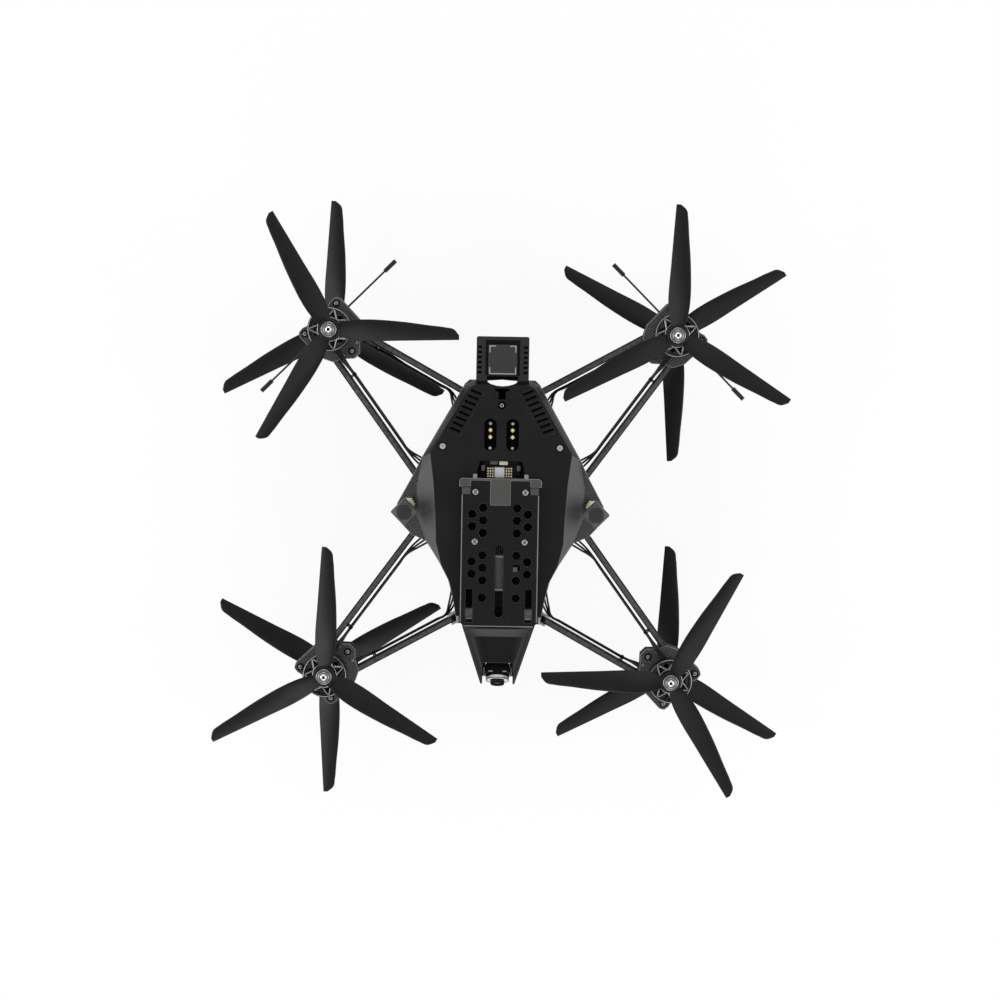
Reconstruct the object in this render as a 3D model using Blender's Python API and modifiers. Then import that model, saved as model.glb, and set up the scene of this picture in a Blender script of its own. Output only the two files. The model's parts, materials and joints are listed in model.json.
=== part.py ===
"""Coaxial eight-rotor drone: four corners with an upper and a lower motor, on a carbon plate airframe.

The nose points to -Y and the ground is z = 0, so the pilot's left is +X.
"""

import math

import bmesh
import bpy
from mathutils import Matrix, Vector

MM = 0.001


def mm(*points):
    """The same points in metres, given in millimetres."""
    return [tuple(value * MM for value in point) for point in points]


# Fits
GAP = 0.3 * MM

# Layout
PROP_RADIUS = 101.6 * MM
PROP_TIP_GAP = 68.8 * MM
BELLY_HEIGHT = 51.5 * MM
BOTTOM_PLATE_THICK = 2 * MM
ARM_BAY = 14 * MM
MID_PLATE_THICK = 2.5 * MM
MOUNT_PLATE_THICK = 2.5 * MM

# Arms: plates on edge, set by their root inside the hull and their distance from the motor axis
ARM_THICK = 5 * MM
ARM_START = 4 * MM
INNER_ARM_ROOT = mm((55.5, 6.5))[0]
INNER_ARM_OFFSET = 11 * MM
OUTER_ARM_ROOT = mm((12.4, 78.5))[0]
OUTER_ARM_OFFSET = 9.4 * MM

# Motor mounts, on axes along the corner's diagonal and across it
MOUNT_HALF = mm(
    (-14.5, 11), (-16, 15.7), (-15.4, 20.2), (-12, 22.2), (11, 21.5), (20, 17), (23.5, 9.5), (29.6, 3),
)
MOUNT_POSTS = mm((24, 0), (-11.3, 17.2), (-11.3, -17.2))
MOUNT_POST_RADIUS = 2.8 * MM

# Motors, heights from the foot of the base
SHAFT_RADIUS = 2.5 * MM
BASE_RADIUS = 14 * MM
BASE_HEIGHT = 3 * MM
STATOR_FOOT = 7 * MM
AIR_GAP = 1.1 * MM
ROOF_AIR = 2.5 * MM
BEARING_WALL = 2 * MM
BELL_RADIUS = 17.4 * MM
BELL_WALL = 1.7 * MM
BELL_FOOT = 5 * MM
BELL_TOP = 20 * MM
BELL_ROOF = 2 * MM
BELL_CHAMFER = 1.5 * MM
BELL_WINDOWS = 7
BELL_WINDOW_EDGE = 0.7 * MM
NUT_RADIUS = 4.2 * MM
NUT_FLANGE_RADIUS = 6 * MM
NUT_FLANGE_HEIGHT = 1.4 * MM
NUT_HEIGHT = 6 * MM
TURN_STEPS = 12

# Motor leads
LEAD_RADIUS = 1.25 * MM
LEAD_PITCH = 3 * MM
LEAD_RUN = 16 * MM
LEAD_DROP = 10 * MM
INNER_LEAD_FROM_ARM = 6.8 * MM
INNER_LEAD_BEND = 40 * MM
INNER_LEAD_SPLAY = mm((29, 9))[0]
OUTER_LEAD_FROM_ARM = 5.2 * MM
OUTER_LEAD_BEND = 31 * MM
OUTER_LEAD_SPLAY = mm((15, 13))[0]

# Propellers: stations are fraction of radius, leading edge and trailing edge
PROP_PITCH = 90 * MM
HUB_RADIUS = 8.3 * MM
HUB_HEIGHT = 8 * MM
BLADES = 3
BLADE_STATIONS = (
    (0.05, 4.0, -4.0),
    (0.14, 6.6, -7.5),
    (0.27, 7.8, -9.1),
    (0.55, 6.2, -8.9),
    (0.77, 3.3, -8.6),
    (0.9, 1.6, -8.4),
    (0.965, -0.2, -8.3),
    (1.0, -4.6, -8.2),
)
BLADE_THICKNESS = 0.1
BLADE_CAMBER = 0.06

# Rotors: corner, side in X, side in Y, angle of one upper and one lower blade, spin of the upper one
CORNERS = (
    ("front_left", 1, -1, 61.3, 87.2, 1),
    ("front_right", -1, -1, 87.2, 32.9, -1),
    ("rear_left", 1, 1, 87.0, 32.9, -1),
    ("rear_right", -1, 1, 0.9, 87.2, 1),
)

# Hull plates and shell, half outlines from the tail to the nose
TAIL_ARC = mm((0, 93.2), (4.5, 93.6), (9, 94.9), (11.6, 96.4), (11.7, 98.2))
MID_PLATE_HALF = mm(
    (26, 98.2), (29.5, 95), (62.4, 36.7), (68.7, 23.4), (81.8, -0.8), (76.6, -18), (70.4, -24.6), (58, -30.2),
    (47.5, -47), (40.5, -60), (36.5, -75), (33, -93),
)
BOTTOM_PLATE_HALF = mm(
    (26, 91), (58, 36), (65, 22), (65, -20), (56, -30), (45.5, -47), (38.5, -60), (34.5, -75), (31, -91),
)
SHELL_HALF = (
    ((23.5, 97.6), (20.5, 95.0)),
    ((29, 94.8), (25.2, 92.6)),
    ((62, 36.7), (55.5, 41.0)),
    ((66.4, 14), (52.5, 18.0)),
    ((66.2, -9), (50.5, -9.0)),
    ((58.5, -29.5), (49.8, -29.0)),
    ((47, -47), (45.5, -46.5)),
    ((40, -60), (38.8, -60.0)),
    ((36.3, -75), (35.3, -75.0)),
    ((33, -93), (32.2, -92.2)),
)
SHELL_WALL = 1.8 * MM
SHELL_CURVE = ((0.0, 0.0), (0.08, 0.0), (0.6, 0.3), (1.0, 1.0))
SHELL_BAY_HALF = mm((16.5, 35.5), (20, 20.5), (27.5, 8), (27.5, -89))
VENT_SIZE = mm((9, 3))[0]
VENT_FIRST = mm((18.6, 89.9))[0]
VENT_LAST = mm((34.9, 59.9))[0]
VENT_COUNT = 6
VENT_ANGLE = math.radians(19.5)
TAIL_NOTCH_HALF = mm((5.8, 92), (5.6, 90.6), (2.8, 89.4), (2.8, 83.6))

# Spacers
SPACER_RADIUS = 3 * MM
SPACER_PLACES = mm((24, 48), (20, -52))
STANDOFF_RADIUS = 2.75 * MM
STANDOFF_HEIGHT = 29 * MM
STANDOFF_PLACES = mm((19.5, 11.4), (19.5, -27.5))

# Battery plate and stop
BATTERY_PLATE_THICK = 2.5 * MM
BATTERY_AIR = 3.7 * MM
BATTERY_HALF_WIDTH = 30.2 * MM
BATTERY_REAR = 20 * MM
BATTERY_FRONT = -94 * MM
BATTERY_CORNER = 3 * MM
HEX_RADIUS = 3.7 * MM
HEX_COLUMN = 8.5 * MM
HEX_ROW = 9.8 * MM
HEX_REAR_START = 21 * MM
HEX_FRONT_START = 22.5 * MM
SIDE_SLOT = mm((5.6, 26.4))[0]
SIDE_SLOT_EDGE = 4.2 * MM
SIDE_SLOT_FRONT = 3 * MM
CENTRE_SLOT = mm((6.8, 57))[0]
CENTRE_SLOT_FRONT = 7.1 * MM
STOP_PAD = mm((9, 4.5))[0]
STOP_TAB = mm((16, 19))[0]
STOP_STRIP = 1.8 * MM
STOP_OVERHANG = 2 * MM

# Nose shell, rear and front sections
NOSE_FRONT = -141 * MM
NOSE_REAR_HALF = 28.6 * MM
NOSE_FRONT_HALF = 13.4 * MM
NOSE_TIP = mm((12, 33))[0]
NOSE_WALL = 2.3 * MM
NOSE_SEAT = 1 * MM
NOSE_LIP = 3 * MM
SCOOP_RIM = 1.5 * MM
SCOOP_SLOPE = 6 * MM
SCOOP_SECTION = ((1.15, -0.3), (0.7, 0.55), (0.3, 0.9), (0.0, 1.0))
SCOOP_DEPTH = 6 * MM
SCOOP_BEVEL = 6.5 * MM
NOSE_FLOOR_END = -124.5 * MM
NOSE_BULKHEAD = -120.5 * MM

# Camera
CAMERA_PIVOT = mm((-131, 20))[0]
CAMERA_TILT = math.radians(15)
CAMERA_WIDTH = 19.4 * MM
CAMERA_HEIGHT = 18 * MM
CAMERA_BACK = 5.5 * MM
CAMERA_FACE = 5 * MM
LENS_RING_RADIUS = 9.3 * MM
LENS_RING_LENGTH = 4 * MM
LENS_RADIUS = 5.5 * MM
LENS_LENGTH = 4 * MM
CAMERA_PIN_RADIUS = 1.5 * MM
EAR_THICK = 1.6 * MM
EAR_HALF_HEIGHT = 5 * MM
EAR_FREE_END = 3.5 * MM
EAR_PLAY = 0.7 * MM

# Tail bracket and satellite receiver
TRAY_HALF_WIDTH = 20.6 * MM
TRAY_LENGTH = 34.6 * MM
TRAY_LIFT = 7.5 * MM
TRAY_HEIGHT = 14 * MM
TRAY_BAND = 4 * MM
TRAY_CORNER = 1 * MM
TRAY_LEG_WIDTH = 7.6 * MM
TRAY_LEG_LENGTH = 14 * MM
TRAY_SLOT = mm((3.3, 1.9))[0]
TRAY_SLOT_DEPTH = 5 * MM
TRAY_SLOT_PITCH = 3.95 * MM
TRAY_SLOTS = 6
RECEIVER_SIZE = mm((22.4, 23.8, 7.5))[0]
RECEIVER_RISE = 1.3 * MM
WELL_SIDE = 2.2 * MM
WELL_SLOPE = 3.5 * MM

# Cross beam between the front arms' roots
BEAM_HALF_LENGTH = 30 * MM
BEAM_REAR = -78.7 * MM
BEAM_FRONT = -88.3 * MM
BEAM_HEIGHT = 14 * MM
BEAM_CHAMFER = 1.5 * MM

# Electronics under the battery plate
BOARD_SIZE = mm((32, 54, 1.6))[0]
BOARD_Y = 9 * MM
BOARD_LIFT = 9 * MM
BOARD_POST_RADIUS = 2 * MM
BOARD_INSET = 3 * MM
CHIP_SIZE = mm((14, 12, 3))[0]
CHIP_Y = 27 * MM
CAPACITOR_RADIUS = 6.5 * MM
CAPACITOR_LENGTH = 29 * MM
CAPACITOR_Y = -53.5 * MM
SOCKET_SIZE = mm((9.4, 24.8, 12))[0]
SOCKET_PLACE = mm((8.7, 55.9))[0]
SOCKET_SINK = 1.3 * MM
SOCKET_FLANGE = 1.6 * MM
SOCKET_FLANGE_THICK = 2 * MM
CONTACT_RADIUS = 1.75 * MM
CONTACT_DEPTH = 8 * MM
CONTACT_PITCH = 5.5 * MM
CONTACT_SHIFT = 0.9 * MM

# Video antennas on the wings
ANTENNA_PLACE = mm((71.8, 0.5))[0]
ANTENNA_LEAN = (0.17, -0.26)
ANTENNA_FOOT_RADIUS = 4.8 * MM
ANTENNA_FOOT_HEIGHT = 1.5 * MM
ANTENNA_BARREL_RADIUS = 3.2 * MM
ANTENNA_NECK = 14 * MM
ANTENNA_HEAD = mm((15.2, 20))[0]
ANTENNA_CHAMFER = 3 * MM

# Dipole control antennas
DIPOLE_LENGTH = 148 * MM
DIPOLE_RADIUS = 0.8 * MM
SLEEVE_LENGTH = 12 * MM
SLEEVE_RADIUS = 1.75 * MM
DIPOLE_ALONG = -3.2 * MM
HOLDER_SIZE = mm((6, 9))[0]

# Landing skids
SKID_PLACE = 34.5 * MM
SKID_THICK = 3 * MM
SKID_TOP = 84 * MM
SKID_FOOT = 128 * MM
SKID_BAR = 8 * MM
SKID_TOE = 4 * MM

# Heights and places that follow
MOTOR_AT = PROP_RADIUS + PROP_TIP_GAP / 2
BAY_FLOOR = BELLY_HEIGHT + BOTTOM_PLATE_THICK
BAY_ROOF = BAY_FLOOR + ARM_BAY
BAY_MIDDLE = (BAY_FLOOR + BAY_ROOF) / 2
DECK = BAY_ROOF + MID_PLATE_THICK
MOTOR_FOOT = BAY_ROOF + MOUNT_PLATE_THICK + GAP
PROP_FOOT = BELL_TOP + GAP
NUT_FOOT = PROP_FOOT + HUB_HEIGHT + GAP
STATOR_RADIUS = BELL_RADIUS - BELL_WALL - AIR_GAP
STATOR_TOP = BELL_TOP - BELL_ROOF - ROOF_AIR
BATTERY_FLOOR = DECK + STANDOFF_HEIGHT
SHELL_FOOT = DECK + GAP
SHELL_TOP = BATTERY_FLOOR - BATTERY_AIR
NOSE_REAR = SHELL_HALF[-1][0][1] * MM - GAP
TRAY_START = SHELL_HALF[0][0][1] * MM + GAP
CAMERA_AT = Vector((0, CAMERA_PIVOT[0], BELLY_HEIGHT + CAMERA_PIVOT[1]))

for old in list(bpy.data.objects):
    bpy.data.objects.remove(old)

parts = bpy.data.collections.new("octocopter_drone")
cutters = bpy.data.collections.new("cutters")
for group in (parts, cutters):
    bpy.context.scene.collection.children.link(group)


def material(name, colour, roughness, metallic=0.0):
    """Principled material with one colour."""
    made = bpy.data.materials.new(name)
    made.use_nodes = True
    shader = made.node_tree.nodes["Principled BSDF"]
    shader.inputs["Base Color"].default_value = (*colour, 1)
    shader.inputs["Roughness"].default_value = roughness
    shader.inputs["Metallic"].default_value = metallic
    return made


CARBON = material("carbon_plate", (0.02, 0.02, 0.022), 0.45)
MOULDED = material("moulded_plastic", (0.035, 0.037, 0.04), 0.55)
NOSE_PLASTIC = material("nose_plastic", (0.03, 0.032, 0.035), 0.5)
RUBBER = material("grey_rubber", (0.16, 0.16, 0.17), 0.8)
BRACKET = material("bracket_rubber", (0.02, 0.02, 0.02), 0.8)
BELL_METAL = material("bell_metal", (0.03, 0.03, 0.033), 0.35, 1.0)
STATOR_METAL = material("stator_metal", (0.05, 0.05, 0.05), 0.5)
PROP_PLASTIC = material("propeller_plastic", (0.015, 0.015, 0.016), 0.4)
CAMERA_CASE = material("camera_case", (0.03, 0.03, 0.03), 0.5)
RECEIVER_CASE = material("receiver_case", (0.02, 0.02, 0.02), 0.5)
BEAM_METAL = material("beam_metal", (0.4, 0.4, 0.41), 0.4, 1.0)
BOARD_GREEN = material("circuit_board", (0.02, 0.02, 0.02), 0.5)
CAPACITOR_CASE = material("capacitor_case", (0.2, 0.2, 0.21), 0.4)
SOCKET_PLASTIC = material("socket_plastic", (0.02, 0.02, 0.02), 0.5)
ANTENNA_PLASTIC = material("antenna_plastic", (0.02, 0.02, 0.02), 0.5)


def placed(name, mesh, surface, group=parts):
    """Object made of mesh, in the given collection."""
    thing = bpy.data.objects.new(name, mesh)
    group.objects.link(thing)
    if surface and not mesh.materials:
        mesh.materials.append(surface)
    return thing


def tool(name, mesh):
    """Object that only cuts or joins others."""
    thing = placed(name, mesh, None, cutters)
    thing.hide_render = True
    thing.display_type = "WIRE"
    return thing


def boolean(thing, other, operation="DIFFERENCE"):
    """Adds a Boolean step to thing."""
    step = thing.modifiers.new(other.name, "BOOLEAN")
    step.operation = operation
    step.solver = "EXACT"
    step.object = other


def settled(thing):
    """Mesh of thing with its modifiers worked out, for pieces that repeat; thing itself goes."""
    bpy.context.view_layer.update()
    graph = bpy.context.evaluated_depsgraph_get()
    mesh = bpy.data.meshes.new_from_object(thing.evaluated_get(graph))
    bpy.data.objects.remove(thing)
    return mesh


def welded(mesh):
    """The mesh with doubled points merged and its faces turned outward."""
    work = bmesh.new()
    work.from_mesh(mesh)
    bmesh.ops.remove_doubles(work, verts=work.verts, dist=0.00001)
    bmesh.ops.recalc_face_normals(work, faces=work.faces)
    work.to_mesh(mesh)
    work.free()
    return mesh


def moved(mesh, matrix):
    """The mesh after a move or turn; a mirror also turns its faces round."""
    mesh.transform(matrix)
    if matrix.determinant() < 0:
        mesh.flip_normals()
    return mesh


def flat(name, loops, foot, height):
    """Mesh of flat outlines, inner ones being holes, raised from foot by height."""
    curve = bpy.data.curves.new(name, "CURVE")
    curve.dimensions = "2D"
    curve.fill_mode = "BOTH"
    curve.extrude = height / 2
    for loop in loops:
        spline = curve.splines.new("POLY")
        spline.points.add(len(loop) - 1)
        for point, place in zip(spline.points, loop):
            point.co = (place[0], place[1], 0, 1)
        spline.use_cyclic_u = True
    mesh = welded(settled(placed(name, curve, None, cutters)))
    return moved(mesh, Matrix.Translation((0, 0, foot + height / 2)))


def turned(name, profile, steps=TURN_STEPS):
    """Mesh of a profile, given from top to bottom, turned round Z."""
    mesh = bpy.data.meshes.new(name)
    links = [(i, i + 1) for i in range(len(profile) - 1)]
    if profile[0][0] > 0:
        links.append((len(profile) - 1, 0))
    mesh.from_pydata([(r, 0, z) for r, z in profile], links, [])
    thing = placed(name, mesh, None, cutters)
    turn = thing.modifiers.new("turn", "SCREW")
    turn.steps = steps
    turn.render_steps = steps
    turn.use_merge_vertices = True
    turn.merge_threshold = 0.00001
    return welded(settled(thing))


def loft(name, rings, closed=True):
    """Mesh through rings of points; the last ring is capped, and the first one too where closed."""
    mesh = bpy.data.meshes.new(name)
    count = len(rings[0])
    faces = []
    for row in range(len(rings) - 1):
        for i in range(count):
            a = row * count + i
            b = row * count + (i + 1) % count
            faces.append((a, b, b + count, a + count))
    faces.append(tuple((len(rings) - 1) * count + i for i in range(count)))
    if closed:
        faces.append(tuple(range(count)))
    mesh.from_pydata([point for ring in rings for point in ring], [], faces)
    return welded(mesh)


def block(name, low, high):
    """Mesh of a box between two corners."""
    low, high = Vector(low), Vector(high)
    size = Matrix.Diagonal((*(high - low), 1))
    work = bmesh.new()
    bmesh.ops.create_cube(work, size=1, matrix=Matrix.Translation((low + high) / 2) @ size)
    mesh = bpy.data.meshes.new(name)
    work.to_mesh(mesh)
    work.free()
    return mesh


def rod(name, radius, low, high, sides=8):
    """Mesh of a round post on Z."""
    work = bmesh.new()
    bmesh.ops.create_cone(
        work, cap_ends=True, segments=sides, radius1=radius, radius2=radius, depth=high - low,
        matrix=Matrix.Translation((0, 0, (low + high) / 2)),
    )
    mesh = bpy.data.meshes.new(name)
    work.to_mesh(mesh)
    work.free()
    return mesh


def mirrored(half):
    """Outline closed by the half's own mirror in X."""
    return half + [(-x, y) for x, y in reversed(half) if x > 0]


def rectangle(size, place=(0, 0), angle=0.0):
    """Outline of a rectangle about a place."""
    turn = Matrix.Rotation(angle, 2)
    corners = [(-1, -1), (1, -1), (1, 1), (-1, 1)]
    spots = [turn @ Vector((a * size[0] / 2, b * size[1] / 2)) for a, b in corners]
    return [(place[0] + spot.x, place[1] + spot.y) for spot in spots]


def round_slot(size, place):
    """Outline of a slot along Y with round ends."""
    r = size[0] / 2
    reach = size[1] / 2 - r
    turns = [math.radians(30 * i) for i in range(12)]
    return [
        (place[0] + r * math.cos(t + math.radians(15)), place[1] + r * math.sin(t + math.radians(15))
         + (reach if i < 6 else -reach))
        for i, t in enumerate(turns)
    ]


def ring(radius, place, sides):
    """Outline of a regular polygon."""
    turns = [2 * math.pi * i / sides for i in range(sides)]
    return [(place[0] + radius * math.cos(t), place[1] + radius * math.sin(t)) for t in turns]


def both_sides(places):
    """Places, and the same places across X."""
    return [(side * x, y) for x, y in places for side in (1, -1)]


def on_mount(sx, sy, along, across):
    """Place by a mount's own axes: along runs from its motor towards the hull."""
    x = MOTOR_AT - (along + across) * math.sqrt(0.5)
    y = MOTOR_AT - (along - across) * math.sqrt(0.5)
    return (sx * x, sy * y)


def arm_line(inner):
    """Side on which an arm passes its motor, its distance there, its length and its angle to X."""
    root, offset = (INNER_ARM_ROOT, INNER_ARM_OFFSET) if inner else (OUTER_ARM_ROOT, OUTER_ARM_OFFSET)
    side = 1 if inner else -1
    across, back = MOTOR_AT - root[0], MOTOR_AT - root[1]
    length = math.sqrt(across ** 2 + back ** 2 - offset ** 2)
    return side, offset, length, math.atan2(back, across) - side * math.atan2(offset, length)


def on_arm(sx, sy, inner, along, aside):
    """Place by an arm: along from the motor, and aside of its middle towards the other arm."""
    side, offset, length, angle = arm_line(inner)
    out = offset - aside
    x = MOTOR_AT + side * out * math.sin(angle) - along * math.cos(angle)
    y = MOTOR_AT - side * out * math.cos(angle) - along * math.sin(angle)
    return (sx * x, sy * y)


def below(z):
    """Height as far under the arms' middle as z is over it."""
    return 2 * BAY_MIDDLE - z


def nose_half(y):
    """Half width of the nose at y."""
    share = (y - NOSE_REAR) / (NOSE_FRONT - NOSE_REAR)
    return NOSE_REAR_HALF + share * (NOSE_FRONT_HALF - NOSE_REAR_HALF)


# Plates of the hull; the bottom one runs on under the nose
tongue = [(nose_half(y) - NOSE_SEAT, y) for y in (NOSE_REAR, NOSE_BULKHEAD)]
bottom_outline = mirrored(BOTTOM_PLATE_HALF + tongue)
bottom = placed("bottom_plate", flat("bottom", [bottom_outline], BELLY_HEIGHT, BOTTOM_PLATE_THICK), CARBON)
spacers = [ring(SPACER_RADIUS, place, 8) for place in both_sides(SPACER_PLACES)]
posts = flat("spacers", spacers, BAY_FLOOR - BOTTOM_PLATE_THICK / 2, ARM_BAY + BOTTOM_PLATE_THICK / 2 - GAP)
boolean(bottom, tool("spacer_posts", posts), "UNION")

middle_outline = mirrored(TAIL_ARC + MID_PLATE_HALF)
middle = placed("mid_plate", flat("mid", [middle_outline], BAY_ROOF, MID_PLATE_THICK), CARBON)
standoffs = [ring(STANDOFF_RADIUS, place, 8) for place in both_sides(STANDOFF_PLACES)]
posts = flat("standoffs", standoffs, DECK - MID_PLATE_THICK / 2, STANDOFF_HEIGHT + MID_PLATE_THICK / 2 - GAP)
boolean(middle, tool("standoff_posts", posts), "UNION")

# Arms
for corner, sx, sy, *rest in CORNERS:
    for kind, inner in (("inner", True), ("outer", False)):
        ends = (ARM_START, arm_line(inner)[2])
        outline = [
            on_arm(sx, sy, inner, along, aside * ARM_THICK / 2)
            for along, aside in ((ends[0], -1), (ends[0], 1), (ends[1], 1), (ends[1], -1))
        ]
        arm = flat("arm", [outline], BAY_FLOOR + GAP, ARM_BAY - 2 * GAP)
        placed(f"arm_{kind}_{corner}", arm, CARBON)

# Motor mounts
mount_outline = MOUNT_HALF + [(u, -v) for u, v in reversed(MOUNT_HALF)]
for corner, sx, sy, *rest in CORNERS:
    outline = [on_mount(sx, sy, u, v) for u, v in mount_outline]
    placed(f"mount_upper_{corner}", flat("mount", [outline], BAY_ROOF, MOUNT_PLATE_THICK), CARBON)
    lower = flat("mount", [outline], BAY_FLOOR - MOUNT_PLATE_THICK, MOUNT_PLATE_THICK)
    mount = placed(f"mount_lower_{corner}", lower, CARBON)
    spots = [ring(MOUNT_POST_RADIUS, on_mount(sx, sy, u, v), 8) for u, v in MOUNT_POSTS]
    sunk = MOUNT_PLATE_THICK / 2
    posts = flat("mount_posts", spots, BAY_FLOOR - sunk, ARM_BAY + sunk - GAP)
    boolean(mount, tool(f"mount_posts_{corner}", posts), "UNION")


def stator_mesh():
    """Base, bearing tube and stator, with the shaft's bore."""
    bore = SHAFT_RADIUS + GAP
    tube = bore + BEARING_WALL
    return turned("stator", [
        (bore, STATOR_TOP), (STATOR_RADIUS, STATOR_TOP), (STATOR_RADIUS, STATOR_FOOT), (tube, STATOR_FOOT),
        (tube, BASE_HEIGHT), (BASE_RADIUS, BASE_HEIGHT), (BASE_RADIUS, 0), (bore, 0),
    ])


def lead_mesh(sx, sy, upper, number):
    """One motor lead, from the motor's base along the arm and in between the hull plates."""
    inner = upper
    beside = INNER_LEAD_FROM_ARM if inner else OUTER_LEAD_FROM_ARM
    splay = INNER_LEAD_SPLAY if inner else OUTER_LEAD_SPLAY
    bend = arm_line(inner)[2] - (INNER_LEAD_BEND if inner else OUTER_LEAD_BEND)
    fan = (number - 1) * LEAD_PITCH
    high = MOTOR_FOOT + BASE_HEIGHT / 2
    stacked = BAY_MIDDLE + fan
    edge = BASE_RADIUS + LEAD_RUN
    path = [
        (BASE_RADIUS - LEAD_PITCH, beside - fan, high),
        (edge, beside - fan, high),
        (edge + LEAD_DROP, beside, stacked),
        (bend, beside, stacked),
        (bend + splay[0], beside + splay[1] - fan, stacked),
    ]
    curve = bpy.data.curves.new("lead", "CURVE")
    curve.dimensions = "3D"
    curve.bevel_depth = LEAD_RADIUS
    curve.bevel_resolution = 1
    curve.use_fill_caps = True
    spline = curve.splines.new("POLY")
    spline.points.add(len(path) - 1)
    for point, (along, aside, z) in zip(spline.points, path):
        x, y = on_arm(sx, sy, inner, along, aside)
        point.co = (x, y, z if upper else below(z), 1)
    return welded(settled(placed("lead", curve, None, cutters)))


def bell_mesh():
    """Bell, shaft and nut turned as one, with windows through the roof."""
    roof = BELL_TOP - BELL_ROOF
    wall = BELL_RADIUS - BELL_WALL
    nut_top = NUT_FOOT + NUT_HEIGHT
    flange_top = NUT_FOOT + NUT_FLANGE_HEIGHT
    bell = placed("bell", turned("bell", [
        (0, nut_top), (NUT_RADIUS, nut_top), (NUT_RADIUS, flange_top), (NUT_FLANGE_RADIUS, flange_top),
        (NUT_FLANGE_RADIUS, NUT_FOOT), (SHAFT_RADIUS, NUT_FOOT), (SHAFT_RADIUS, BELL_TOP),
        (BELL_RADIUS - BELL_CHAMFER, BELL_TOP), (BELL_RADIUS, BELL_TOP - BELL_CHAMFER),
        (BELL_RADIUS, BELL_FOOT),
        (wall, BELL_FOOT), (wall, roof), (SHAFT_RADIUS, roof), (SHAFT_RADIUS, GAP), (0, GAP),
    ]), None, cutters)
    start = HUB_RADIUS + BELL_WINDOW_EDGE
    end = wall - BELL_WINDOW_EDGE
    spread = math.pi / BELL_WINDOWS
    windows = []
    for i in range(BELL_WINDOWS):
        turn = 2 * math.pi * i / BELL_WINDOWS
        corners = ((start, 0), (end, -0.8), (end, 0.8))
        spots = [(r, turn + k * spread) for r, k in corners]
        windows.append([(r * math.cos(angle), r * math.sin(angle)) for r, angle in spots])
    boolean(bell, tool("bell_windows", flat("windows", windows, roof - BELL_ROOF, 3 * BELL_ROOF)))
    return settled(bell)


def blade_ring(fraction, lead, trail):
    """Aerofoil section across a blade that runs along X and leads on +Y."""
    reach = fraction * PROP_RADIUS
    chord = (lead - trail) * MM
    slope = PROP_PITCH / (2 * math.pi * max(reach, 0.27 * PROP_RADIUS))
    shape = ((0, 0), (0.3, 1), (0.68, 0.75), (1, 0), (0.68, -0.5), (0.3, -0.55))
    points = []
    for back, side in shape:
        y = lead * MM - back * chord
        lift = BLADE_CAMBER * chord * 4 * back * (1 - back) + side * BLADE_THICKNESS * chord / 2
        points.append((reach, y, slope * y + lift))
    return points


def propeller_mesh(spin):
    """Hub and blades; spin is 1 for one that turns anticlockwise seen from above."""
    bore = SHAFT_RADIUS + GAP
    half = HUB_HEIGHT / 2
    hub = turned("hub", [(bore, half), (HUB_RADIUS, half), (HUB_RADIUS, -half), (bore, -half)])
    thing = placed("propeller", hub, None, cutters)
    rings = [blade_ring(*station) for station in BLADE_STATIONS]
    core = tool("hub_bore", rod("hub_bore", bore, -HUB_HEIGHT, HUB_HEIGHT, TURN_STEPS))
    for i in range(BLADES):
        blade = moved(loft("blade", rings), Matrix.Rotation(2 * math.pi * i / BLADES, 4, "Z"))
        boolean(thing, tool(f"blade_{i}", blade), "UNION")
    boolean(thing, core)
    return moved(settled(thing), Matrix.Diagonal((1, spin, 1, 1)))


# Motors and propellers
bell_shared = bell_mesh()
propellers = {spin: propeller_mesh(spin) for spin in (1, -1)}
turned_over = Matrix.Rotation(math.pi, 4, "X")
for corner, sx, sy, upper_angle, lower_angle, upper_spin in CORNERS:
    for level, angle, spin in (("upper", upper_angle, upper_spin), ("lower", lower_angle, -upper_spin)):
        upper = level == "upper"
        foot = MOTOR_FOOT if upper else below(MOTOR_FOOT)
        axis = Vector((sx * MOTOR_AT, sy * MOTOR_AT, foot))
        upright = Matrix.Identity(4) if upper else turned_over
        base = moved(stator_mesh(), Matrix.Translation(axis) @ upright)
        stator = placed(f"stator_{level}_{corner}", base, STATOR_METAL)
        for number in range(3):
            lead = tool(f"lead_{level}_{corner}_{number}", lead_mesh(sx, sy, upper, number))
            boolean(stator, lead, "UNION")
        bell = placed(f"bell_{level}_{corner}", bell_shared, BELL_METAL)
        bell.matrix_world = Matrix.Translation(axis) @ upright
        height = PROP_FOOT + HUB_HEIGHT / 2
        hub = axis + Vector((0, 0, height if upper else -height))
        propeller = placed(f"propeller_{level}_{corner}", propellers[spin], PROP_PLASTIC)
        propeller.matrix_world = Matrix.Translation(hub) @ Matrix.Rotation(math.radians(angle), 4, "Z")

# Hull shell
rings = []
for rise, inset in SHELL_CURVE:
    half = [
        tuple((a + (b - a) * inset) * MM for a, b in zip(base, top))
        for base, top in SHELL_HALF
    ]
    rings.append([(x, y, SHELL_FOOT + rise * (SHELL_TOP - SHELL_FOOT)) for x, y in mirrored(half)])
shell = placed("hull_shell", loft("shell", rings, False), MOULDED)
thick = shell.modifiers.new("wall", "SOLIDIFY")
thick.thickness = SHELL_WALL
thick.offset = -1
thick.use_even_offset = True
tail = [(x, y) for x, y in TAIL_ARC] + [(TAIL_ARC[-1][0] + GAP, TRAY_START + TRAY_LENGTH)]
openings = [mirrored(tail), mirrored(SHELL_BAY_HALF), mirrored(TAIL_NOTCH_HALF)]
socket_hole = (SOCKET_SIZE[0] + 2 * GAP, SOCKET_SIZE[1] + 2 * GAP)
openings += [round_slot(socket_hole, place) for place in both_sides([SOCKET_PLACE])]
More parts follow.
